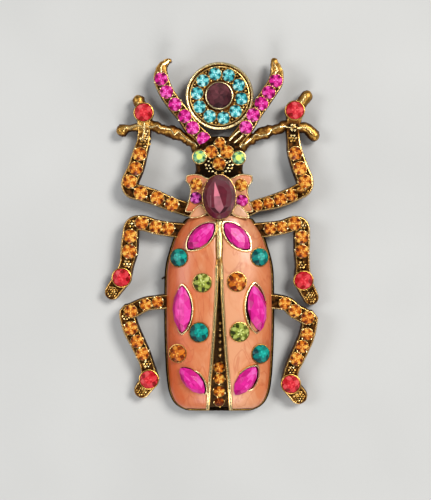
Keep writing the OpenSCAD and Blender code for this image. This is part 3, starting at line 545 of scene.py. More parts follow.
def loose_setting(shape, stone, section, steps, slack, shift, turn, arc):
    """A wall wider than its stone by slack, moved along and across it by shift and turned. Over an
    arc, in degrees round the stone from the right, the stone covers it."""
    spin = math.radians(turn)

    def place(i, grow, high):
        angle = 2 * math.pi * i / steps
        flat = stone.at(*stone.edge(angle), 0) - stone.place
        way = (math.degrees(math.atan2(flat.y, flat.x)) - arc[0]) % 360
        hidden = max(0.0, min(1.0, way / FADE, (arc[1] - arc[0] - way) / FADE))
        grow += slack
        grow += hidden * (min(grow, TUCKED) - grow)
        u, v = stone.edge(angle, grow=grow)
        u, v = (u * math.cos(spin) - v * math.sin(spin) + shift[0],
                u * math.sin(spin) + v * math.cos(spin) + shift[1])
        low = min(high, UNDER_GIRDLE)
        if abs(v) < stone.breadth(u):
            hidden = 1.0
        return stone.at(u, v, high + hidden * (low - high))

    def ring(out, high):
        return [place(i, out, high) for i in range(steps)]

    wall(shape, section, ring)
    # The seat, nearly black as a painted shadow
    shape.add(ring(0, SEAT_DROP), [list(range(steps))], [SEAT_SHADOW_TONE] * steps)


# Materials

def srgb(*levels):
    """A colour from its 0 to 255 levels, by the sRGB formula."""
    parts = [c / 255 for c in levels]
    return tuple(c / 12.92 if c <= 0.04045 else ((c + 0.055) / 1.055) ** 2.4 for c in parts) + (1.0,)


class Nodes:
    """A material's nodes, made and linked by short calls."""

    def __init__(self, name):
        self.material = bpy.data.materials.new(name)
        self.material.use_nodes = True
        self.tree = self.material.node_tree
        self.shader = self.tree.nodes["Principled BSDF"]
        place = self.node("ShaderNodeTexCoord")
        scale = self.node("ShaderNodeVectorMath", operation="SCALE")
        scale.inputs["Scale"].default_value = 1 / MM
        self.link(place.outputs["Object"], scale.inputs[0])
        self.place = scale.outputs[0]

    def node(self, kind, **settings):
        made = self.tree.nodes.new(kind)
        for name, value in settings.items():
            setattr(made, name, value)
        return made

    def link(self, output, socket):
        self.tree.links.new(output, socket)

    def set(self, **values):
        for name, value in values.items():
            self.shader.inputs[name.replace("_", " ")].default_value = value

    def noise(self, scale, detail=3.0, rough=0.55, warp=0.0, stretch=(1, 1, 1)):
        """scale counts spots to the millimetre."""
        made = self.node("ShaderNodeTexNoise")
        for name, value in (("Scale", scale), ("Detail", detail), ("Roughness", rough),
                            ("Distortion", warp)):
            made.inputs[name].default_value = value
        stretched = self.node("ShaderNodeVectorMath", operation="MULTIPLY")
        stretched.inputs[1].default_value = stretch
        self.link(self.place, stretched.inputs[0])
        self.link(stretched.outputs[0], made.inputs["Vector"])
        return made.outputs["Fac"]

    def tone(self):
        made = self.node("ShaderNodeAttribute", attribute_name="tone")
        return made.outputs["Fac"]

    def swing(self, fac, strength):
        """A value from 0 to 1 made to swing about 0."""
        return self.math("MULTIPLY", self.math("SUBTRACT", fac, 0.5), strength)

    def ramp(self, fac, stops):
        made = self.node("ShaderNodeValToRGB")
        elements = made.color_ramp.elements
        for where, _ in stops[len(elements):]:
            elements.new(where)
        for element, (where, colour) in zip(elements, stops):
            element.position = where
            element.color = colour
        self.link(fac, made.inputs["Fac"])
        return made.outputs["Color"]

    def feed(self, socket, value):
        """Sets a socket to a number or colour, or links an output to it."""
        if isinstance(value, (int, float, tuple)):
            socket.default_value = value
        else:
            self.link(value, socket)

    def math(self, operation, a, b):
        made = self.node("ShaderNodeMath", operation=operation)
        self.feed(made.inputs[0], a)
        self.feed(made.inputs[1], b)
        return made.outputs[0]

    def mix(self, fac, a, b):
        """A mix of two colours. Inputs 6 and 7 of the node are its colours, and output 2 the mix."""
        made = self.node("ShaderNodeMix", data_type="RGBA")
        for index, value in ((0, fac), (6, a), (7, b)):
            self.feed(made.inputs[index], value)
        return made.outputs[2]

    def bump(self, height, depth):
        """depth is in millimetres."""
        made = self.node("ShaderNodeBump")
        made.inputs["Distance"].default_value = depth * MM
        self.link(height, made.inputs["Height"])
        self.link(made.outputs["Normal"], self.shader.inputs["Normal"])


def gold_material(name, pale, bright, middle, dark):
    """Antique gold: worn edges, pale above tone 1, brown middle tones and a black patina in the
    recesses. Through the tones it also shows painted shade on walls and spots, and painted
    highlights on crests."""
    m = Nodes(name)
    grain = m.noise(scale=1.3, detail=5.0, rough=0.65)
    fine = m.noise(scale=6.0, detail=3.0, rough=0.6)
    # worn is the tone with grain: wear and patina, and the painted shade and highlights in the tone
    worn = m.math("ADD", m.tone(), m.swing(grain, 0.9))
    colour = m.ramp(m.math("MULTIPLY", worn, 0.5),
                    [(0.04, dark), (0.19, middle), (0.38, bright), (0.68, pale)])
    m.link(colour, m.shader.inputs["Base Color"])
    m.set(Metallic=1.0, IOR=1.5)
    rough = m.node("ShaderNodeMapRange")
    for end, value in {"From Min": 0.1, "From Max": 0.8, "To Min": 0.6, "To Max": 0.26}.items():
        rough.inputs[end].default_value = value
    m.link(worn, rough.inputs["Value"])
    m.link(rough.outputs[0], m.shader.inputs["Roughness"])
    height = m.math("ADD", m.math("MULTIPLY", grain, 0.7), m.math("MULTIPLY", fine, 0.3))
    m.bump(height, depth=0.12)
    return m.material


def gem_material(name, dark, deep, main, light):
    """Foil-backed glass, whose facets pass light of different strength, painted in by their tones."""
    m = Nodes(name)
    painted_facet_light = m.math("ADD", m.tone(), m.swing(m.noise(scale=0.7, detail=1.0), 0.3))
    colour = m.ramp(painted_facet_light, [(0.0, dark), (0.32, deep), (0.66, main), (1.0, light)])
    m.link(colour, m.shader.inputs["Base Color"])
    m.set(Roughness=0.4, IOR=1.3, Coat_Weight=0.2, Coat_Roughness=0.1, Coat_IOR=1.45)
    return m.material


# Painted light on the enamel: how far right of the middle line it is lightest, as lit from the right,
# and over what width it darkens towards its edges, whose own colour is deeper
PAINTED_LIGHT_X = 3.2
SHADE_W = 15.0
BLACK = (0, 0, 0, 1)
WHITE = (1, 1, 1, 1)


def enamel_material(name, edge, middle, light, streak):
    """Glossy hand-laid enamel with swirled streaks, lighter towards the middle of the back in painted
    light from the right, and darker towards its edges in its own deeper colour and in painted shade.
    """
    m = Nodes(name)
    split = m.node("ShaderNodeSeparateXYZ")
    m.link(m.place, split.inputs[0])
    # Painted light: lightest right of the middle line, darker away from it
    off = m.math("ABSOLUTE", m.math("SUBTRACT", split.outputs["X"], MIDDLE.x / MM + PAINTED_LIGHT_X), 0)
    swirl = m.noise(scale=0.16, detail=4.0, rough=0.6, warp=1.6, stretch=(1.6, 0.7, 1))
    shade = m.math("ADD", m.math("DIVIDE", off, SHADE_W), m.swing(swirl, 1.1))
    base = m.ramp(shade, [(0.1, light), (0.42, middle), (0.9, edge)])
    lines = m.noise(scale=0.10, detail=3.0, rough=0.5, warp=2.2, stretch=(1.4, 0.5, 1))
    thin = m.ramp(lines, [(0.47, BLACK), (0.5, WHITE), (0.53, BLACK)])
    strength = m.math("MULTIPLY", thin, 0.42)
    m.link(m.mix(strength, base, streak), m.shader.inputs["Base Color"])
    m.set(Roughness=0.4, Coat_Weight=0.4, Coat_Roughness=0.2, Coat_IOR=1.45)
    m.bump(m.noise(scale=0.35, detail=2.0), depth=0.12)
    return m.material


def floor_material():
    m = Nodes("pale_floor")
    cloud = m.noise(scale=0.02, detail=2.0)
    colour = m.ramp(cloud, [(0.3, srgb(200, 200, 198)), (0.7, srgb(208, 208, 206))])
    m.link(colour, m.shader.inputs["Base Color"])
    m.set(Roughness=0.85)
    m.bump(m.noise(scale=0.5, detail=4.0), depth=0.05)
    return m.material


GOLD = gold_material("antique_gold", srgb(255, 234, 176), srgb(226, 174, 84), srgb(118, 72, 30),
                     srgb(28, 18, 10))
# A darker copy of the gold for the body, which lies low in the gap and under the wing cases' edges:
# painted shade
SHADED_GOLD = gold_material("shaded_gold", srgb(255, 234, 176), srgb(190, 144, 76), srgb(78, 52, 28),
                          srgb(26, 18, 12))
CORAL = enamel_material("coral_enamel", srgb(206, 94, 44), srgb(216, 128, 80),
                        srgb(228, 158, 114), srgb(186, 78, 34))
PEACH = enamel_material("pale_enamel", srgb(206, 138, 96), srgb(220, 160, 120),
                        srgb(228, 176, 140), srgb(196, 118, 76))
# Colours of the cut stones: dark, deep, main and light, for facets from painted shade to painted light
GEMS = {
    "magenta": ((104, 2, 60), (182, 10, 112), (230, 34, 154), (250, 116, 208)),
    "amber": ((98, 34, 4), (172, 74, 10), (226, 128, 30), (252, 200, 92)),
    "red": ((140, 8, 16), (200, 24, 38), (226, 48, 62), (244, 96, 100)),
    "aqua": ((4, 66, 76), (12, 128, 140), (84, 206, 212), (196, 248, 246)),
    "teal": ((0, 56, 60), (0, 104, 102), (2, 156, 142), (36, 196, 180)),
    "peridot": ((50, 60, 12), (112, 124, 34), (176, 190, 82), (226, 232, 150)),
    "purple": ((58, 0, 48), (126, 8, 100), (180, 26, 146), (232, 112, 200)),
    "amethyst": ((36, 10, 16), (102, 24, 42), (102, 72, 76), (220, 124, 142)),
    "garnet": ((48, 14, 22), (84, 40, 46), (116, 58, 66), (160, 96, 100)),
    "lime": ((56, 104, 60), (110, 186, 160), (172, 216, 150), (228, 250, 112))}
GLASS = {shade: gem_material(shade + "_glass", *(srgb(*levels) for levels in row))
         for shade, row in GEMS.items()}


def make_cut(cut, node, shade):
    """Puts cut stones in the place of their CAD node."""
    cut.make(node + "_cut", shade + "_glass", GLASS[shade], [node])


def set_stone(metal, node, shade, section, steps=28, worn=1.0, swollen=0.0, **cut_as):
    """A node's one stone, in a wall that fits it."""
    stone = stones(node)[0]
    stone.swell(swollen)
    setting(metal, stone, section, steps, worn)
    cut = Shape(facets=True)
    gem(cut, stone, **cut_as)
    make_cut(cut, node, shade)


# Body

LIFT = 1.6
FLANGE_Z = 2.8
WING_START = -0.5
WING_L = 43.4
WING_W = 12.2
DOME_H = 6.2
RIM_H = 0.6
FLANGE_OUT = 0.4
WING_GAP = 0.12

# The back, from front to tail: share of its length, inner and outer edge of a wing case as shares
# of the body's half width, and crown as a share of the dome's height
BACK = [
    (0.00, 0.045, 0.60, 0.72), (0.07, 0.045, 0.78, 0.82), (0.15, 0.045, 0.89, 0.89),
    (0.25, 0.030, 0.98, 0.95), (0.37, 0.036, 1.00, 0.99), (0.58, 0.080, 1.00, 1.00),
    (0.73, 0.120, 0.98, 0.95), (0.82, 0.150, 0.96, 0.88), (0.90, 0.175, 0.92, 0.76),
    (0.955, 0.185, 0.84, 0.60), (0.985, 0.195, 0.72, 0.44), (1.00, 0.200, 0.58, 0.28)]
BACK_CURVE = smooth_curve([(row[0] * WING_L, 0, *row[1:]) for row in BACK], STEP)
# The power of the curve that the back makes across
DOME_POWER = 2.4


def back_row(y):
    """Inner edge, outer edge and crown of the back at a place along it."""
    at = WING_START - y
    column = [row[0] for row in BACK_CURVE]
    return [float(np.interp(at, column, [row[k] for row in BACK_CURVE])) * full
            for k, full in ((2, WING_W), (3, WING_W), (4, DOME_H))]


def back_z(x, y):
    _, outer, crown = back_row(y)
    share = min(1.0, abs(x) / outer)
    return FLANGE_Z + RIM_H + (crown - RIM_H) * math.sqrt(max(0, 1 - share ** DOME_POWER))


def eased(count):
    """Shares from 0 to 1, closer together at both ends."""
    return [0.5 - 0.5 * math.cos(math.pi * i / count) for i in range(count + 1)]


ROWS_ALONG = 90
ROWS_ACROSS = 22
RIM_W = 0.52
OUTER_RIM_W = 0.22
# How far from its edges a sheet starts to roll down
ROLL_W = 0.6
# How far the front reaches forward under the petals: at its sides as a negative inset, more in the
# middle, over which half width, and how fast that fades towards the tail
FRONT_INSET = -0.17
FRONT_REACH = 0.8
FRONT_SPAN = 6.0
FRONT_POWER = 12
METAL_DROP = 0.16
# Where the bright bar between the wing cases ends, and over what length the rims beside it grow
BAR_END = -9.6
BAR_FADE = 2.0
# The rims' width beside the bar, as a share of their width further back
BAR_RIM = 0.3


def behind_bar(y):
    """0 beside the bar and 1 behind it."""
    return min(1.0, max(0.0, (BAR_END - y) / BAR_FADE))


def rim_share(y):
    return BAR_RIM + (1 - BAR_RIM) * behind_bar(y)


def wing_sheet(side, inset, drop, roll=0.0, outer_inset=0.0):
    """Rows of points over a wing case, drawn in from its edges and rolled down along them. The
    front reaches under the petals, the more so the nearer it is to the middle line."""
    rows = []
    length = WING_L - outer_inset - FRONT_INSET
    for t in eased(ROWS_ALONG):
        y = WING_START - FRONT_INSET - t * length
        inner, outer, _ = back_row(y)
        ends = min(t, 1 - t) * length
        row = []
        start = inner + inset * rim_share(y)
        for s in eased(ROWS_ACROSS):
            width = outer - start - outer_inset
            x = start + s * width
            near = min(1.0, min(ends, s * width, (1 - s) * width) / ROLL_W)
            ahead = FRONT_REACH * max(0, 1 - (x / FRONT_SPAN) ** 2) * (1 - t) ** FRONT_POWER
            row.append(Vector((side * x, y + ahead, back_z(x, y) - drop - roll * (1 - near) ** 2)))
        rows.append(row)
    return rows


def closed_sheet(shape, rows, lower, tone_top, tone_side, flip):
    """A solid under rows of points. lower(point) gives the point below one."""
    wide = len(rows[0])
    top = [p for row in rows for p in row]
    below = [lower(p) for p in top]
    n = len(top)
    edge = (list(range(wide)) + [r * wide + wide - 1 for r in range(1, len(rows))]
            + [(len(rows) - 1) * wide + i for i in range(wide - 2, -1, -1)]
            + [r * wide for r in range(len(rows) - 2, 0, -1)])
    faces = grid_faces(len(rows), wide)
    faces += [[n + i for i in face[::-1]] for face in faces]
    faces += [[a, n + a, n + b, b] for a, b in zip(edge, edge[1:] + edge[:1])]
    if flip:
        faces = [face[::-1] for face in faces]
    shape.add(top + below, faces, [tone_top] * n + [tone_side] * n)


def wing_line(side, out_share, inset, lift=0.0):
    """A line along a wing case, at its inner edge (0) or outer edge (1)."""
    line = []
    for t in eased(ROWS_ALONG):
        y = WING_START - t * WING_L
        inner, outer, _ = back_row(y)
        x = inner + inset * rim_share(y) if out_share == 0 else outer - inset
        line.append((side * x, y, back_z(x, y) + lift))
    return line


# The tone of the rims beside the bar
DULL_RIM = 0.4


def rim_tones(line, tone):
    """A rim's tones along the gap, where it is dull beside the bar."""
    return [DULL_RIM + (tone - DULL_RIM) * behind_bar(y) for _, y, _ in line]


# The lines of the rim along the gap: inset, lift, radius and tone
GAP_RIMS = [(-0.05, -0.16, 0.15, 0.9), (0.14, -0.02, 0.13, 1.7), (RIM_W - 0.06, 0.0, 0.11, 1.7)]
ENAMEL_THICK = 0.3
# How a stone is cut: contrast of its facets, their middle tone, how many folds it has, how much
# brighter its lit side is in painted light and how much darker its edge in painted shade
LOOKS = {"navette": (0.4, 0.62, 6, 0.12, 0.05), "teal": (0.55, 0.62, 8, 0.3, 0.25),
         "amber": (0.9, 0.5, 8, 0.1, 0.12), "peridot": (0.9, 0.52, 10, 0.2, 0.15)}
# The direction that a stone's bright side faces, in degrees, where its painted light falls
LIT_SIDE = 40
# A round stone whose axis leans more than this lies flatter than the enamel round it
STEEP = 0.95
CUP_STEPS = 40
BEZEL_STEPS = 48
# How the walls of the pointed stones are set: slack, shift along and across the stone, turn, and
# the arc that is covered
LOOSE_SETTINGS = {
    "stone_left_1": (0.08, (0.0, -0.08), 0, (0, 0)),
    "stone_left_4": (0.05, (0.0, -0.14), 0, (95, 262)),
    "stone_left_7": (0.10, (0.0, -0.12), 0, (62, 318)),
    "stone_right_1": (0.07, (0.0, 0.07), 0, (36, 70)),
    "stone_right_4": (0.12, (0.2, 0.34), -7, (-75, 20)),
    "stone_right_7": (0.08, (0.0, -0.10), 0, (135, 300))}
# Stones that lie askew in their walls, in degrees
ASKEW = {"stone_right_4": 3}
SET_SHADES = {
    "left": ["magenta", "teal", "peridot", "magenta", "teal", "amber", "magenta"],
    "right": ["magenta", "teal", "amber", "magenta", "peridot", "teal", "magenta"]}


def wing_case(name, side):
    metal = Shape()
    foot = FLANGE_Z + WING_GAP
    closed_sheet(metal, wing_sheet(side, 0, METAL_DROP), lambda p: Vector((p.x, p.y, foot)),
                 tone_top=0.1, tone_side=0.2, flip=side > 0)
    for inset, lift, radius, tone in GAP_RIMS:
        line = wing_line(side, 0, inset, lift)
        wire(metal, line, radius, rim_tones(line, tone))
    wire(metal, wing_line(side, 1, inset=0.10, lift=-0.08), radius=0.11, tone=0.5)
    wire(metal, wing_sheet(side, inset=0.1, drop=0.0)[-1], radius=0.11, tone=0.7)
    for k, shade in enumerate(SET_SHADES[name]):
        node = f"stone_{name}_{k + 1}"
        stone = stones(node)[0]
        if stone.round and stone.up.z < STEEP:
            stone.level(share=0.5, lift=0.25)
        stone.turn(ASKEW.get(node, 0))
        if stone.pointed:
            loose_setting(metal, stone, BEZEL, BEZEL_STEPS, *LOOSE_SETTINGS[node])
        else:
            setting(metal, stone, CUP, CUP_STEPS, worn=0.6 if shade == "teal" else 1.0)
        cut = Shape(facets=True)
        contrast, base, folds, glow, rim = LOOKS["navette" if stone.pointed else shade]
        gem(cut, stone, contrast, base, folds, glow=glow, lit=LIT_SIDE, rim=rim)
        make_cut(cut, node, shade)
    metal.make(f"elytron_{name}_metal", "antique_gold", GOLD, [f"elytron_{name}"])
    enamel = Shape()
    closed_sheet(enamel, wing_sheet(side, RIM_W, drop=0.02, roll=0.2, outer_inset=OUTER_RIM_W),
                 lambda p: p - Vector((0, 0, ENAMEL_THICK)), tone_top=1.0, tone_side=1.0, flip=side > 0)
    enamel.make(f"enamel_{name}_glaze", "coral_enamel", CORAL, [f"enamel_{name}"])


wing_case("left", -1)
wing_case("right", 1)


def around(half):
    """A closed outline from its right half, which runs from front to back or back to front."""
    return list(half) + [(-x, y) for x, y in half[::-1] if x > TINY]


def outline_at(outline, share, z, middle=(0, 0)):
    return [Vector((middle[0] + share * (x - middle[0]), middle[1] + share * (y - middle[1]), z))
            for x, y in outline]


def stack(shape, outline, middle, levels, caps=True):
    """A surface through copies of an outline. Each level is a share of its size, height and tone."""
    loft(shape, [outline_at(outline, share, z, middle) for share, z, _ in levels],
         [tone for _, _, tone in levels], caps)


BODY_ROWS = 60


def flange_half(grow):
    """The body's right edge: the wing case's edge, moved out square to itself."""
    edge = [Vector((0, WING_START))]
    edge += [Vector((back_row(y)[1], y)) for y in (WING_START - t * WING_L for t in eased(BODY_ROWS))]
    edge.append(Vector((0, WING_START - WING_L)))
    half = []
    for i, p in enumerate(edge):
        run = (edge[min(i + 1, len(edge) - 1)] - edge[max(i - 1, 0)]).normalized()
        out = Vector((-run.y, run.x))
        half.append(tuple(p + grow * out))
    half[0] = (0, WING_START + grow)
    half[-1] = (0, WING_START - WING_L - grow)
    return half


def even(outline, count):
    """A closed outline as count points at equal distances along it."""
    loop = [Vector(p) for p in outline] + [Vector(outline[0])]
    run = [0.0]
    for a, b in zip(loop, loop[1:]):
        run.append(run[-1] + (b - a).length)
    places = [run[-1] * i / count for i in range(count)]
    columns = [np.interp(places, run, [p[k] for p in loop]) for k in (0, 1)]
    return [(float(x), float(y)) for x, y in zip(*columns)]


HOLLOW_W = 13
HOLLOW_ENDS = (0.2, 0.84)
HOLLOW_TOP = 5.0
HOLLOW_CORNER = 2
CORNER_STEPS = 6


def hollow_outline():
    front, tail = (WING_START - share * WING_L for share in HOLLOW_ENDS)
    wide = HOLLOW_W / 2 - HOLLOW_CORNER
    half = [(0, front + HOLLOW_CORNER)]
    for y, first in ((front, 90), (tail, 0)):
        for k in range(CORNER_STEPS + 1):
            a = math.radians(first - 90 * k / CORNER_STEPS)
            half.append((wide + HOLLOW_CORNER * math.cos(a), y + HOLLOW_CORNER * math.sin(a)))
    half.append((0, tail - HOLLOW_CORNER))
    return around(half)


BODY_POINTS = 160
BODY_BEVEL = 0.15
# The floor of the gap: how far it starts and ends inside the wing cases, how far it reaches under
# each of them, how deep it lies, and how far its foot is sunk in the plate
GAP_START = 0.3
GAP_END = 0.6
GAP_UNDER = 0.9
GAP_DEEP = 1.5
GAP_FOOT = 0.1


def body():
    metal = Shape()
    plan = around(flange_half(FLANGE_OUT))
    inner = around(flange_half(FLANGE_OUT - BODY_BEVEL))
    hollow = hollow_outline()
    levels = [(hollow, HOLLOW_TOP, 0.2), (hollow, LIFT, 0.3), (inner, LIFT, 0.35),
              (plan, LIFT + BODY_BEVEL, 0.35), (plan, FLANGE_Z - BODY_BEVEL, 0.3), (inner, FLANGE_Z, 0.1)]
    rings = [[Vector((x, y, z)) for x, y in even(outline, BODY_POINTS)] for outline, z, _ in levels]
    loft(metal, rings, [tone for _, _, tone in levels])
    rows = []
    for t in eased(BODY_ROWS):
        y = WING_START - GAP_START - t * (WING_L - GAP_START - GAP_END)
        half = back_row(y)[0] + GAP_UNDER
        rows.append([Vector((k * half / 2, y, back_z(0, y) - GAP_DEEP)) for k in range(-2, 3)])
    closed_sheet(metal, rows, lambda p: Vector((p.x, p.y, FLANGE_Z - GAP_FOOT)),
                 tone_top=0.27, tone_side=0.2, flip=True)
    return metal


BODY = body()
# The ridge's parts: start behind the wing cases' front, length, widths at both ends, and tone
RIDGE_PARTS = [(0.6, 8.2, 1.4, 1.4, 1.1), (9.0, 4.2, 1.1, 0.3, 0.5)]
RIDGE_STEPS = 6
RIDGE_OVER = 0.05
RIDGE_FOOT = 6.0
# A burr left on the casting's left edge
BURR = [(-11.8, -13.4, 3.3), (-12.5, -13.7, 3.3), (-13.1, -14.1, 3.2)]
# How far behind the collar the beads in the gap lie, how far right and how deep
GAP_BEADS = [23.9, 25.4, 26.7, 28.2, 29.9, 31.3]
GAP_BEAD_X = 0.2
GAP_BEAD_DEEP = 1.35


def ridge(metal):
    """The bright bar between the wing cases in front, and its dull end where they part."""
    for start, length, wide, narrow, worn in RIDGE_PARTS:
        rows = []
        for k in range(RIDGE_STEPS + 1):
            y = WING_START - start - length * k / RIDGE_STEPS
            width = wide + (narrow - wide) * k / RIDGE_STEPS
            rows.append((0, y, back_z(0, y) + RIDGE_OVER, RIDGE_FOOT, width))
        sweep(metal, rows, BAR_SECTION, round_first=True, worn=worn)


def gap_beads(metal):
    for back in GAP_BEADS:
        bead(metal, (GAP_BEAD_X, -back, back_z(0, -back) - GAP_BEAD_DEEP), radius=0.38, tone=0.75)


ridge(BODY)
wire(BODY, BURR, radius=0.2, tone=0.1)
gap_beads(BODY)


# Limbs

# Each row is x, y, top, low and width, in millimetres
LIMBS = {
    "leg_front_left": [
        (-6.3, 1.5, 4.8, 1.6, 3.3), (-10.8, 2.9, 4.8, 2.1, 3.3), (-14.1, 4.3, 4.9, 2.3, 3.6),
        (-17.9, 5.5, 5.0, 2.3, 3.7), (-20.0, 6.2, 4.9, 2.2, 3.7), (-20.3, 8.0, 4.9, 2.1, 4.1),
        (-19.0, 11.0, 4.8, 2.1, 3.9), (-18.1, 14.3, 4.6, 1.9, 3.7), (-17.2, 17.5, 4.3, 1.4, 3.2),
        (-17.1, 20.6, 4.0, 0.5, 3.3), (-17.2, 23.8, 4.0, 0.0, 4.1)],
    "leg_front_right": [
        (6.3, 1.5, 4.8, 1.6, 3.1), (8.7, 2.6, 4.8, 2.0, 3.0), (11.2, 3.2, 4.8, 2.1, 3.3),
        (13.9, 4.0, 4.9, 2.2, 3.6), (16.4, 5.0, 5.0, 2.3, 3.6), (18.4, 6.0, 5.0, 2.3, 3.6),
        (19.2, 6.4, 4.9, 2.2, 3.7), (19.5, 8.1, 4.9, 2.1, 4.1), (18.4, 11.1, 4.8, 2.1, 4.0),
        (17.3, 14.5, 4.6, 1.9, 3.7), (16.9, 17.5, 4.3, 1.4, 3.2), (16.8, 20.6, 4.0, 0.5, 3.3),
        (17.3, 24.3, 4.0, 0.0, 4.1)],
    "leg_middle_left": [
        (-8.0, -3.1, 4.8, 1.6, 3.7), (-11.6, -2.7, 4.8, 2.1, 3.5), (-14.4, -2.2, 4.9, 2.3, 3.5),
        (-17.6, -1.3, 5.0, 2.3, 3.6), (-19.7, -1.9, 4.9, 2.2, 3.7), (-20.2, -4.4, 4.8, 2.1, 4.0),
        (-20.5, -7.8, 4.6, 1.9, 4.2), (-21.1, -10.8, 4.3, 1.3, 3.5), (-22.2, -13.8, 4.0, 0.0, 4.1),
        (-24.4, -17.1, 3.5, 0.0, 3.7)],
    "leg_middle_right": [
        (8.0, -3.1, 4.8, 1.6, 3.7), (11.6, -2.7, 4.8, 2.1, 3.5), (14.3, -2.3, 4.9, 2.3, 3.4),
        (17.1, -1.5, 5.0, 2.3, 3.6), (18.7, -2.1, 4.9, 2.2, 3.7), (18.8, -4.6, 4.8, 2.1, 3.9),
        (18.8, -7.8, 4.6, 1.9, 3.8), (19.0, -11.0, 4.3, 1.3, 3.5), (19.2, -14.5, 4.0, 0.0, 4.1),
        (21.0, -18.3, 3.5, 0.0, 3.7)],
    "leg_rear_left": [
        (-9.6, -18.9, 4.8, 1.6, 3.9), (-14.0, -19.4, 4.8, 2.1, 3.4), (-16.8, -19.8, 4.9, 2.3, 3.4),
        (-20.1, -21.4, 5.0, 2.3, 3.7), (-21.0, -21.8, 4.9, 2.2, 3.7), (-20.1, -25.3, 4.8, 2.1, 4.0),
        (-18.7, -28.3, 4.7, 2.0, 3.8), (-17.4, -31.1, 4.6, 1.9, 3.6), (-16.5, -33.6, 4.3, 1.3, 3.4),
        (-16.0, -37.0, 4.0, 0.0, 4.1), (-17.6, -39.5, 3.5, 0.0, 3.9)],
    "leg_rear_right": [
        (9.6, -18.9, 4.8, 1.6, 3.9), (15.0, -19.6, 4.8, 2.1, 3.4), (17.2, -21.3, 4.9, 2.3, 3.5),
        (20.1, -22.9, 5.0, 2.3, 3.7), (20.7, -23.1, 4.9, 2.2, 3.7), (20.0, -26.7, 4.8, 2.1, 3.9),
        (18.9, -29.5, 4.7, 2.0, 3.9), (17.6, -32.3, 4.6, 1.9, 3.8), (16.5, -35.0, 4.3, 1.3, 3.6),
        (16.3, -38.1, 4.0, 0.0, 4.1), (18.2, -40.8, 3.5, 0.0, 4.1)],
    "antenna_left": [
        (-2.9, 16.3, 5.3, 2.5, 3.5), (-3.6, 17.8, 5.2, 2.6, 3.5), (-6.1, 20.2, 5.1, 2.7, 3.5),
        (-7.9, 22.9, 5.0, 2.8, 3.5), (-10.1, 25.6, 5.0, 2.8, 3.5), (-12.0, 28.4, 5.0, 2.8, 3.5),
        (-13.2, 31.4, 5.0, 2.8, 3.5), (-13.1, 33.5, 4.9, 2.9, 2.8), (-12.3, 35.0, 4.7, 3.0, 1.8),
        (-11.4, 35.6, 4.5, 3.2, 1.2)],
    "antenna_right": [
        (2.9, 16.3, 5.3, 2.5, 3.5), (6.1, 20.3, 5.1, 2.7, 3.5), (7.8, 23.2, 5.0, 2.8, 3.5),
        (9.6, 25.8, 5.0, 2.8, 3.5), (11.3, 28.3, 5.0, 2.8, 3.5), (12.9, 31.0, 5.0, 2.8, 3.5),
        (13.0, 33.4, 4.9, 2.9, 2.9), (12.5, 35.5, 4.6, 3.1, 1.6)]}
PRONGS = [
    [(-17.2, 23.8, 4.0, 1.0, 2.6), (-17.8, 25.4, 3.9, 1.0, 2.5), (-18.4, 26.6, 4.1, 1.0, 2.9)],
    [(-17.1, 20.6, 4.0, 1.0, 3.0), (-20.3, 20.4, 3.8, 1.4, 1.6), (-22.0, 19.9, 3.9, 1.2, 3.1)],
    [(17.3, 24.3, 4.0, 1.0, 2.6), (18.6, 25.9, 3.9, 1.2, 2.6), (20.0, 27.7, 3.9, 1.3, 2.8)],
    [(16.8, 20.6, 4.0, 1.0, 2.8), (19.9, 20.4, 3.9, 1.2, 2.6), (21.6, 18.8, 3.9, 1.3, 2.9)]]
TWIGS = [
    [(side * x, y, top, 1.8, w) for x, y, top, w in (
        (4.9, 15.3, 4.0, 2.4), (6.2, 17.0, 4.2, 2.2), (7.2, 17.7, 3.8, 2.5), (8.3, 18.4, 4.2, 2.2),
        (9.4, 19.0, 4.2, 2.9), (11.0, 19.5, 4.4, 3.1), (12.2, 19.8, 3.9, 2.4), (13.4, 20.2, 4.2, 2.5),
        (15.0, 20.9, 4.0, 2.6), (16.9, 20.6, 4.0, 2.8))] for side in (-1, 1)]
# Bright ribs between the head and the right antenna
RIBS = [
    [(2.3, 17.3, 5.6), (3.3, 18.4, 5.5), (4.6, 19.5, 5.4)],
    [(3.2, 16.6, 5.5), (4.3, 17.5, 5.4), (5.4, 18.6, 5.3)],
    [(4.6, 15.4, 5.0), (5.2, 16.9, 4.6), (5.6, 18.0, 4.5)]]
# How many rows at the end of a limb have no channel
TIPS = {"antenna_left": 3, "antenna_right": 2, "leg_front_left": 2, "leg_front_right": 2}
# Limbs whose plain end has a worn crest, pale with wear and with a painted highlight
CRESTED = ("antenna_left", "antenna_right", "leg_front_left")
# Patches of beads: x, y, z and spread
PATCHES = [
    (-16.9, 17.3, 3.9, 1.2), (-16.7, 19.0, 4.0, 0.8), (-19.9, -1.5, 4.6, 1.0), (19.0, -1.9, 4.6, 1.0),
    (-21.3, -22.6, 4.6, 1.0), (21.1, -23.6, 4.6, 1.0), (19.5, 5.9, 4.6, 0.8),
    (-21.0, -10.7, 3.8, 0.9), (18.9, -10.9, 3.8, 0.9), (-16.5, -33.5, 3.8, 0.9),
    (16.6, -34.9, 3.8, 0.9), (16.8, 18.0, 3.9, 1.1), (16.9, 20.4, 4.2, 1.1)]
# Where the patches of grains lie on the hind feet
FEET = [(-24.5, -17.0), (-23.4, -15.6), (21.0, -18.3), (20.2, -16.8), (-17.7, -39.6), (-16.7, -38.9),
        (18.3, -41.0), (17.5, -39.9)]
FOOT_Z = 3.0

# The fields of small stones, and how far each stone is swollen
FIELDS = {"pave_" + limb: "magenta" if limb.startswith("antenna") else "amber" for limb in LIMBS}
FIELDS.update(pave_head="amber", pave_tail="amber", pave_disc="aqua")
SWOLLEN = 0.1
PAVE_GROW = {"pave_head": 0.0, "pave_antenna_left": 0.22, "pave_antenna_right": 0.22}
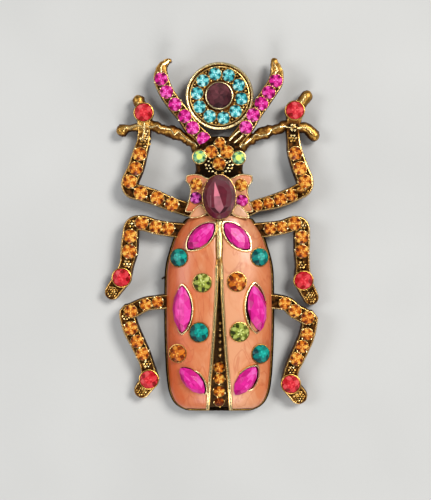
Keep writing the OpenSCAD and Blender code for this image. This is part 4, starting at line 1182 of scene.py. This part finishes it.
# Stones further back than this are dull
DULL_BEHIND = -41.2
REDS = ["stone_red_" + leg[4:] for leg in LIMBS if leg.startswith("leg_")]
# How a crest wanders: how often, how far across and along as shares of the limb's width, and how far
# it stands up
CREST_STEP = 1.1
CREST_X = 0.1
CREST_Y = 0.2
CREST_UP = 0.05
# How far outside and above the girdle the beads that hold a stone lie
CLAW_OUT = 0.1
CLAW_UP = 0.14
CLAW_R = 0.24


def crest(shape, rows, radius, tone):
    """A worn line that wanders along the top of a limb, pale with wear and with a painted highlight."""
    points = []
    for x, y, top, _, width in smooth_curve(rows, CREST_STEP):
        aside = chance.uniform(-CREST_X, CREST_X) * width
        ahead = chance.uniform(-CREST_Y, CREST_Y) * width
        points.append((x + aside, y + ahead, top + CREST_UP))
    wire(shape, smooth_curve(points, STEP), radius, tone)


def claws(shape, stone):
    """Four beads that hold a stone."""
    first = chance.uniform(0, math.pi / 2)
    for k in range(4):
        u, v = stone.edge(first + math.pi / 2 * k, grow=CLAW_OUT)
        bead(shape, stone.at(u, v, CLAW_UP), CLAW_R, chance.uniform(0.5, 1.5))


def cast_limbs(metal):
    """Legs, antennae, prongs and twigs, with their crests, ribs and beads."""
    for name, rows in LIMBS.items():
        plain = len(rows) - TIPS.get(name, 0)
        sweep(metal, [(*row, 1 if i < plain else 0) for i, row in enumerate(rows)], LIMB_SECTION)
        if name in CRESTED:
            crest(metal, rows[plain - 1:], radius=0.3, tone=1.3)
    for rows in PRONGS:
        sweep(metal, rows, ROUND_SECTION, rough=0.1, worn=0.62)
        crest(metal, rows, radius=0.34, tone=1.0)
    for rows in TWIGS:
        sweep(metal, rows, ROUND_SECTION, round_first=True, rough=0.18, worn=0.5)
        crest(metal, rows, radius=0.22, tone=1.2)
    for points in RIBS:
        wire(metal, points, radius=0.24, tone=1.5)
    for x, y, z, spread in PATCHES:
        bead_patch(metal, (x, y, z), spread)
    for x, y in FEET:
        bead_patch(metal, (x, y, FOOT_Z), spread=1.3, radius=0.3, tone=0.68)


def small_stones(metal):
    """The fields of small stones, and the red stones of the feet."""
    for node, shade in FIELDS.items():
        cut = Shape(facets=True)
        for stone in stones(node):
            dull = stone.place.y < DULL_BEHIND
            stone.swell(PAVE_GROW.get(node, SWOLLEN))
            base = 0.0 if dull else chance.uniform(0.5, 0.7)
            gem(cut, stone, contrast=0.95, base=base, glow=0.2, rim=0.15)
            setting(metal, stone, PAVE_CUP, worn=0.6 if shade == "aqua" else 1.0)
            claws(metal, stone)
        make_cut(cut, node, shade)
    for node in REDS:
        set_stone(metal, node, "red", TALL_CUP, CUP_STEPS, worn=0.75, contrast=0.8, base=0.52, glow=0.1)


limbs = Shape()
cast_limbs(limbs)
small_stones(limbs)


# Head, collar and ornament

HEAD_PLAN = [(5.15, 8.0), (5.3, 10.8), (5.6, 13.6), (5.4, 15.4), (2.7, 18.1)]
HEAD_AT = (0, 13.0)
HEAD_TOP = 6.0
# The head from below: share of the plan, height and tone
HEAD_LEVELS = [(0.92, 1.6, 0.1), (1.0, 2.2, 0.2), (1.0, 4.6, 0.15), (0.93, 5.5, 0.2),
               (0.8, 5.95, 0.1), (0.5, HEAD_TOP, -0.1)]
# The bead between the four stones of the head, and those beside them, on each side
BROW_BEAD = (0.05, 13.85, 6.2)
HEAD_BEADS = [(1.8, 12.3), (2.4, 12.6), (2.3, 11.7), (3.0, 11.8), (2.0, 11.0), (2.8, 11.0),
              (1.5, 10.3), (2.3, 10.3), (0.8, 9.9)]


def head(metal):
    outline = even(smooth_curve(around(HEAD_PLAN), step=0.6, closed=True), count=64)
    stack(metal, outline, HEAD_AT, HEAD_LEVELS)
    bead(metal, BROW_BEAD, radius=0.45, tone=1.5)
    for x, y in HEAD_BEADS:
        for side in (-1, 1):
            bead(metal, (side * x, y, HEAD_TOP), chance.uniform(0.24, 0.38), chance.uniform(0.6, 1.6))
    for node in ("stone_eye_left", "stone_eye_right"):
        set_stone(metal, node, "lime", TALL_CUP, contrast=0.8, base=0.45, table=0.5, plain_table=1.0)


head(limbs)

COLLAR_PLAN = [
    (0, -0.3), (4.7, -0.3), (6.3, 1.0), (7.75, 1.2), (7.2, 2.9), (6.85, 4.4), (6.6, 5.8), (6.85, 7.2),
    (7.6, 8.2), (7.5, 9.3), (6.9, 9.55), (5.4, 9.7), (4.1, 9.4), (2.75, 8.8), (0, 8.6)]
PETAL_PLAN = [(2.9, 0.9), (3.8, 0.2), (4.8, -0.1), (6.2, -0.25), (6.7, -0.1), (6.35, 0.6), (5.5, 1.8),
              (4.25, 2.65), (3.7, 2.3)]
PETAL_AT = (4.9, 1.15)
COLLAR_Z = 6.4
OVAL_AT = (0, OVAL_Y)
OVAL_W = 7.4
OVAL_L = 10
PETAL_Z = 7.2
RIM_R = 0.17
RIM_TONE = 1.6
# The collar from below: share of the plan, height and tone
COLLAR_LEVELS = [
    (0.97, LIFT, 0.2), (1.0, LIFT + 0.3, 0.3), (0.97, 3.6, 0.15), (0.98, 5.2, 0.3),
    (1.0, COLLAR_Z - 0.25, 0.8), (0.995, COLLAR_Z, 1.0), (0.965, COLLAR_Z + 0.02, 1.0),
    (0.94, COLLAR_Z - 0.3, 0.4), (0.6, COLLAR_Z - 0.5, 0.1)]
# The wall under a petal's rim, the same way
PETAL_LEVELS = [(1.06, COLLAR_Z - 0.3, 0.5), (1.04, PETAL_Z - 0.15, 0.8)]
# The collar's rim starts behind the petals and lies at this share of the plan
RIM_FROM = 1.0
RIM_SHARE = 0.975
# How far a petal's rim is sunk
RIM_SUNK = 0.05
# How far the enamel reaches under the oval stone
OVAL_UNDER = 0.9
COLLAR_SHADES = ("amber", "purple", "amber", "magenta")
# Enamel in the collar and in the petals: its height, its lowest point, and how far inside the
# outline it ends
COLLAR_ENAMEL = (COLLAR_Z - 0.12, COLLAR_Z - 0.6, 0.3)
PETAL_ENAMEL = (PETAL_Z - 0.08, COLLAR_Z + 0.3, 0.08)
# How wide and how deep the edge of such enamel rolls down
PILLOW_W = 0.5
PILLOW_ROLL = 0.15
PILLOW_TURNS = 120
PILLOW_RINGS = 8
# The least width of an enamel sheet
LEAST_W = 0.01


def polar_reach(outline, middle, turn):
    """How far an outline reaches from a point inside it, in one direction."""
    run = Vector((math.cos(turn), math.sin(turn)))
    best = 0.0
    for a, b in zip(outline, outline[1:] + outline[:1]):
        a, b = Vector(a) - Vector(middle), Vector(b) - Vector(middle)
        edge = b - a
        cross = run.x * edge.y - run.y * edge.x
        if abs(cross) < TINY:
            continue
        far = (a.x * edge.y - a.y * edge.x) / cross
        share = (a.x * run.y - a.y * run.x) / cross
        if far > 0 and -TINY <= share <= 1 + TINY:
            best = max(best, far)
    return best


def pillow(shape, outline, middle, inner, height, low, inset):
    """A sheet from a hole, whose reach is inner(turn), to an outline, rolled down along its edge."""
    top = []
    for k in range(PILLOW_RINGS + 1):
        share = math.sin(math.pi / 2 * k / PILLOW_RINGS)
        ring = []
        for i in range(PILLOW_TURNS):
            turn = 2 * math.pi * i / PILLOW_TURNS
            near = inner(turn)
            far = max(near + LEAST_W, polar_reach(outline, middle, turn) - inset)
            reach = near + (far - near) * share
            x, y = middle[0] + reach * math.cos(turn), middle[1] + reach * math.sin(turn)
            edge = min(1.0, (far - reach) / PILLOW_W)
            ring.append(Vector((x, y, height - PILLOW_ROLL * (1 - edge) ** 2)))
        top.append(ring)
    bottom = [Vector((p.x, p.y, low)) for p in top[-1]]
    loft(shape, top + [bottom], [1.0] * (PILLOW_RINGS + 2), caps=False)


def under_oval(turn):
    """How far the hole under the oval stone reaches."""
    a, b = OVAL_W / 2 - OVAL_UNDER, OVAL_L / 2 - OVAL_UNDER
    return 1 / math.hypot(math.cos(turn) / a, math.sin(turn) / b)


def collar(metal):
    plan = even(smooth_curve(around(COLLAR_PLAN), step=0.3, closed=True), count=150)
    stack(metal, plan, OVAL_AT, COLLAR_LEVELS)
    rim = [p for p in outline_at(plan, RIM_SHARE, COLLAR_Z, OVAL_AT) if p.y > RIM_FROM]
    wire(metal, rim, RIM_R, RIM_TONE)
    enamel = Shape()
    pillow(enamel, plan, OVAL_AT, under_oval, *COLLAR_ENAMEL)
    enamel.make("collar_glaze", "coral_enamel", CORAL, ["enamel_collar_left", "enamel_collar_right"])
    for k, shade in enumerate(COLLAR_SHADES):
        set_stone(metal, f"stone_collar_{k + 1}", shade, PAVE_CUP, swollen=0.12)
    for side, name in ((-1, "left"), (1, "right")):
        middle = (side * PETAL_AT[0], PETAL_AT[1])
        line = smooth_curve([(side * x, y) for x, y in PETAL_PLAN], step=0.25, closed=True)
        wire(metal, [(x, y, PETAL_Z - RIM_SUNK) for x, y in line], RIM_R, RIM_TONE, closed=True)
        stack(metal, line, middle, PETAL_LEVELS, caps=False)
        glaze = Shape()
        pillow(glaze, line, middle, lambda turn: 0.0, *PETAL_ENAMEL)
        glaze.make(f"petal_{name}_glaze", "pale_enamel", PEACH, [f"petal_{name}"])


collar(limbs)

OVAL_TABLE = 0.78
# How far above the table lie the facets of painted light and shade that show through it
OVAL_OVER = 0.02
# These facets: tone of their painted light, then x and y from the middle of the stone
OVAL_PAINTED_FACETS = [
    (1.00, [(-1.0, 3.35), (0.18, 0.1), (-1.2, 0.1)]),
    (0.80, [(0.18, 0.1), (1.0, -2.4), (0.1, -3.75), (-1.03, -2.4), (-1.2, 0.1)]),
    (0.28, [(-0.39, 2.6), (0.9, 2.2), (1.75, 1.2), (1.45, -1.8), (0.97, -2.15), (0.18, 0.1)]),
    (0.36, [(-1.7, 1.6), (-1.2, 1.6), (-1.2, 0.1), (-1.03, -2.4), (-1.7, -2.3)]),
    (0.76, [(-1.98, 0.3), (-1.86, 0.3), (-1.86, -2.3), (-1.98, -2.3)]),
    (0.10, [(-2.0, -2.5), (-1.05, -2.5), (0.1, -3.8), (-1.1, -3.5)]),
    (0.06, [(1.05, -2.4), (2.1, -2.2), (1.2, -3.4), (0.1, -3.8)])]
ORNAMENT_AT = (0.1, 27.565)
# The ornament's profile: radius, height and tone
ORNAMENT = [
    (0.3, 3.0, 0.2), (7.3, 3.0, 0.3), (7.65, 3.25, 0.5), (7.72, 4.6, 0.6), (7.66, 4.95, 1.0),
    (7.5, 5.07, 1.6), (7.24, 5.04, 1.6), (7.1, 4.8, 0.8), (7.0, 4.6, 0.1), (6.86, 4.56, 0.1),
    (6.78, 4.76, 0.8), (6.65, 4.8, 1.1), (6.52, 4.7, 0.6), (6.42, 4.45, 0.1), (3.3, 4.4, 0.25),
    (0.3, 4.4, 0.25)]
ORNAMENT_STEPS = 96
# The grains between its ten stones: the first stone's direction, then each grain's turn from a stone,
# in degrees, and distance from the middle
RING_STONES = 10
RING_START = 101
RING_GRAINS = [(18, 6.1), (11, 6.35), (25, 6.35), (18, 3.85)]
RING_GRAIN_Z = 4.65


def ornament(metal):
    circle = [(math.cos(2 * math.pi * i / ORNAMENT_STEPS), math.sin(2 * math.pi * i / ORNAMENT_STEPS))
              for i in range(ORNAMENT_STEPS)]
    rings = [[Vector((ORNAMENT_AT[0] + r * x, ORNAMENT_AT[1] + r * y, z)) for x, y in circle]
             for r, z, _ in ORNAMENT]
    loft(metal, rings, [tone for _, _, tone in ORNAMENT])
    for i in range(RING_STONES):
        for turn, reach in RING_GRAINS:
            a = math.radians(RING_START - 360 / RING_STONES * i + turn)
            place = (reach * math.cos(a), ORNAMENT_AT[1] + reach * math.sin(a), RING_GRAIN_Z)
            bead(metal, place, CLAW_R, chance.uniform(0.4, 0.9))
    set_stone(metal, "stone_disc", "garnet", TALL_CUP, CUP_STEPS, worn=1.5, contrast=0.4, base=0.3,
              table=TABLE)


ornament(limbs)


def oval_stone(metal):
    stone = stones("stone_oval")[0]
    setting(metal, stone, THIN_CUP, BEZEL_STEPS)
    cut = Shape(facets=True)
    gem(cut, stone, contrast=0.2, base=0.45, folds=12, table=OVAL_TABLE, plain_table=0.46, glow=0.26,
        lit=12)
    top = stone.place.z + stone.crown + OVAL_OVER
    for tone, outline in OVAL_PAINTED_FACETS:
        cut.add([(x, OVAL_Y + y, top) for x, y in outline], [list(range(len(outline)))[::-1]], [tone])
    make_cut(cut, "stone_oval", "amethyst")


oval_stone(limbs)
limbs.make("casting_limbs", "antique_gold", GOLD, ["casting"])
BODY.make("casting_body", "antique_gold", SHADED_GOLD, ["casting"])

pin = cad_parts["pin_finding"]
pin.data.materials.clear()
pin.data.materials.append(GOLD)


# Floor, light and camera

FLOOR_HALF = 1.5
floor_mesh = bpy.data.meshes.new("floor")
floor_mesh.from_pydata([(x * FLOOR_HALF, y * FLOOR_HALF, 0)
                        for x, y in ((-1, -1), (1, -1), (1, 1), (-1, 1))], [], [(0, 1, 2, 3)])
floor_mesh.materials.append(floor_material())
floor = bpy.data.objects.new("floor", floor_mesh)
scene.collection.objects.link(floor)


def area_light(name, place, size, power, colour=(1, 1, 1)):
    light = bpy.data.lights.new(name, "AREA")
    light.shape = "DISK"
    light.size = size
    light.energy = power
    light.color = colour
    lamp = bpy.data.objects.new(name, light)
    lamp.location = place
    lamp.rotation_euler = (-Vector(place)).to_track_quat("-Z", "Y").to_euler()
    scene.collection.objects.link(lamp)


area_light("key_light", (0.42, 0.32, 0.75), 0.35, 6.0, (1.0, 0.98, 0.95))
area_light("fill_light", (-0.6, 0.1, 0.6), 0.4, 2.0, (0.96, 0.98, 1.0))
area_light("low_light", (0.0, -0.7, 0.5), 0.5, 3.0)

world = bpy.data.worlds.new("studio")
world.use_nodes = True
background = world.node_tree.nodes["Background"]
background.inputs["Color"].default_value = (0.62, 0.64, 0.66, 1)
background.inputs["Strength"].default_value = 0.32
scene.world = world

# The photograph's size in pixels, its pixels to the millimetre, the pixel that shows the middle line
# at the back edge of the collar, and how far the picture's middle lies from there
PHOTO_W = 431
PHOTO_H = 500
PIXELS = 4.4
ORIGIN_X = 219.2
ORIGIN_Y = 217
PICTURE_X = (PHOTO_W / 2 - ORIGIN_X) / PIXELS * MM
PICTURE_Y = (ORIGIN_Y - PHOTO_H / 2) / PIXELS * MM
# How high the camera stands, and the height at which the picture has the photograph's scale
CAMERA_UP = 0.30
AIM_Z = 5.0 * MM
camera = bpy.data.cameras.new("camera")
camera.sensor_fit = "VERTICAL"
camera.sensor_height = 24
camera.lens = camera.sensor_height * (CAMERA_UP - AIM_Z) / (PHOTO_H / PIXELS * MM)
camera.clip_start = 0.01
eye = bpy.data.objects.new("camera", camera)
eye.location = (MIDDLE.x + PICTURE_X, MIDDLE.y + PICTURE_Y, CAMERA_UP)
scene.collection.objects.link(eye)
scene.camera = eye
scene.view_settings.view_transform = "Standard"
scene.view_settings.look = "None"
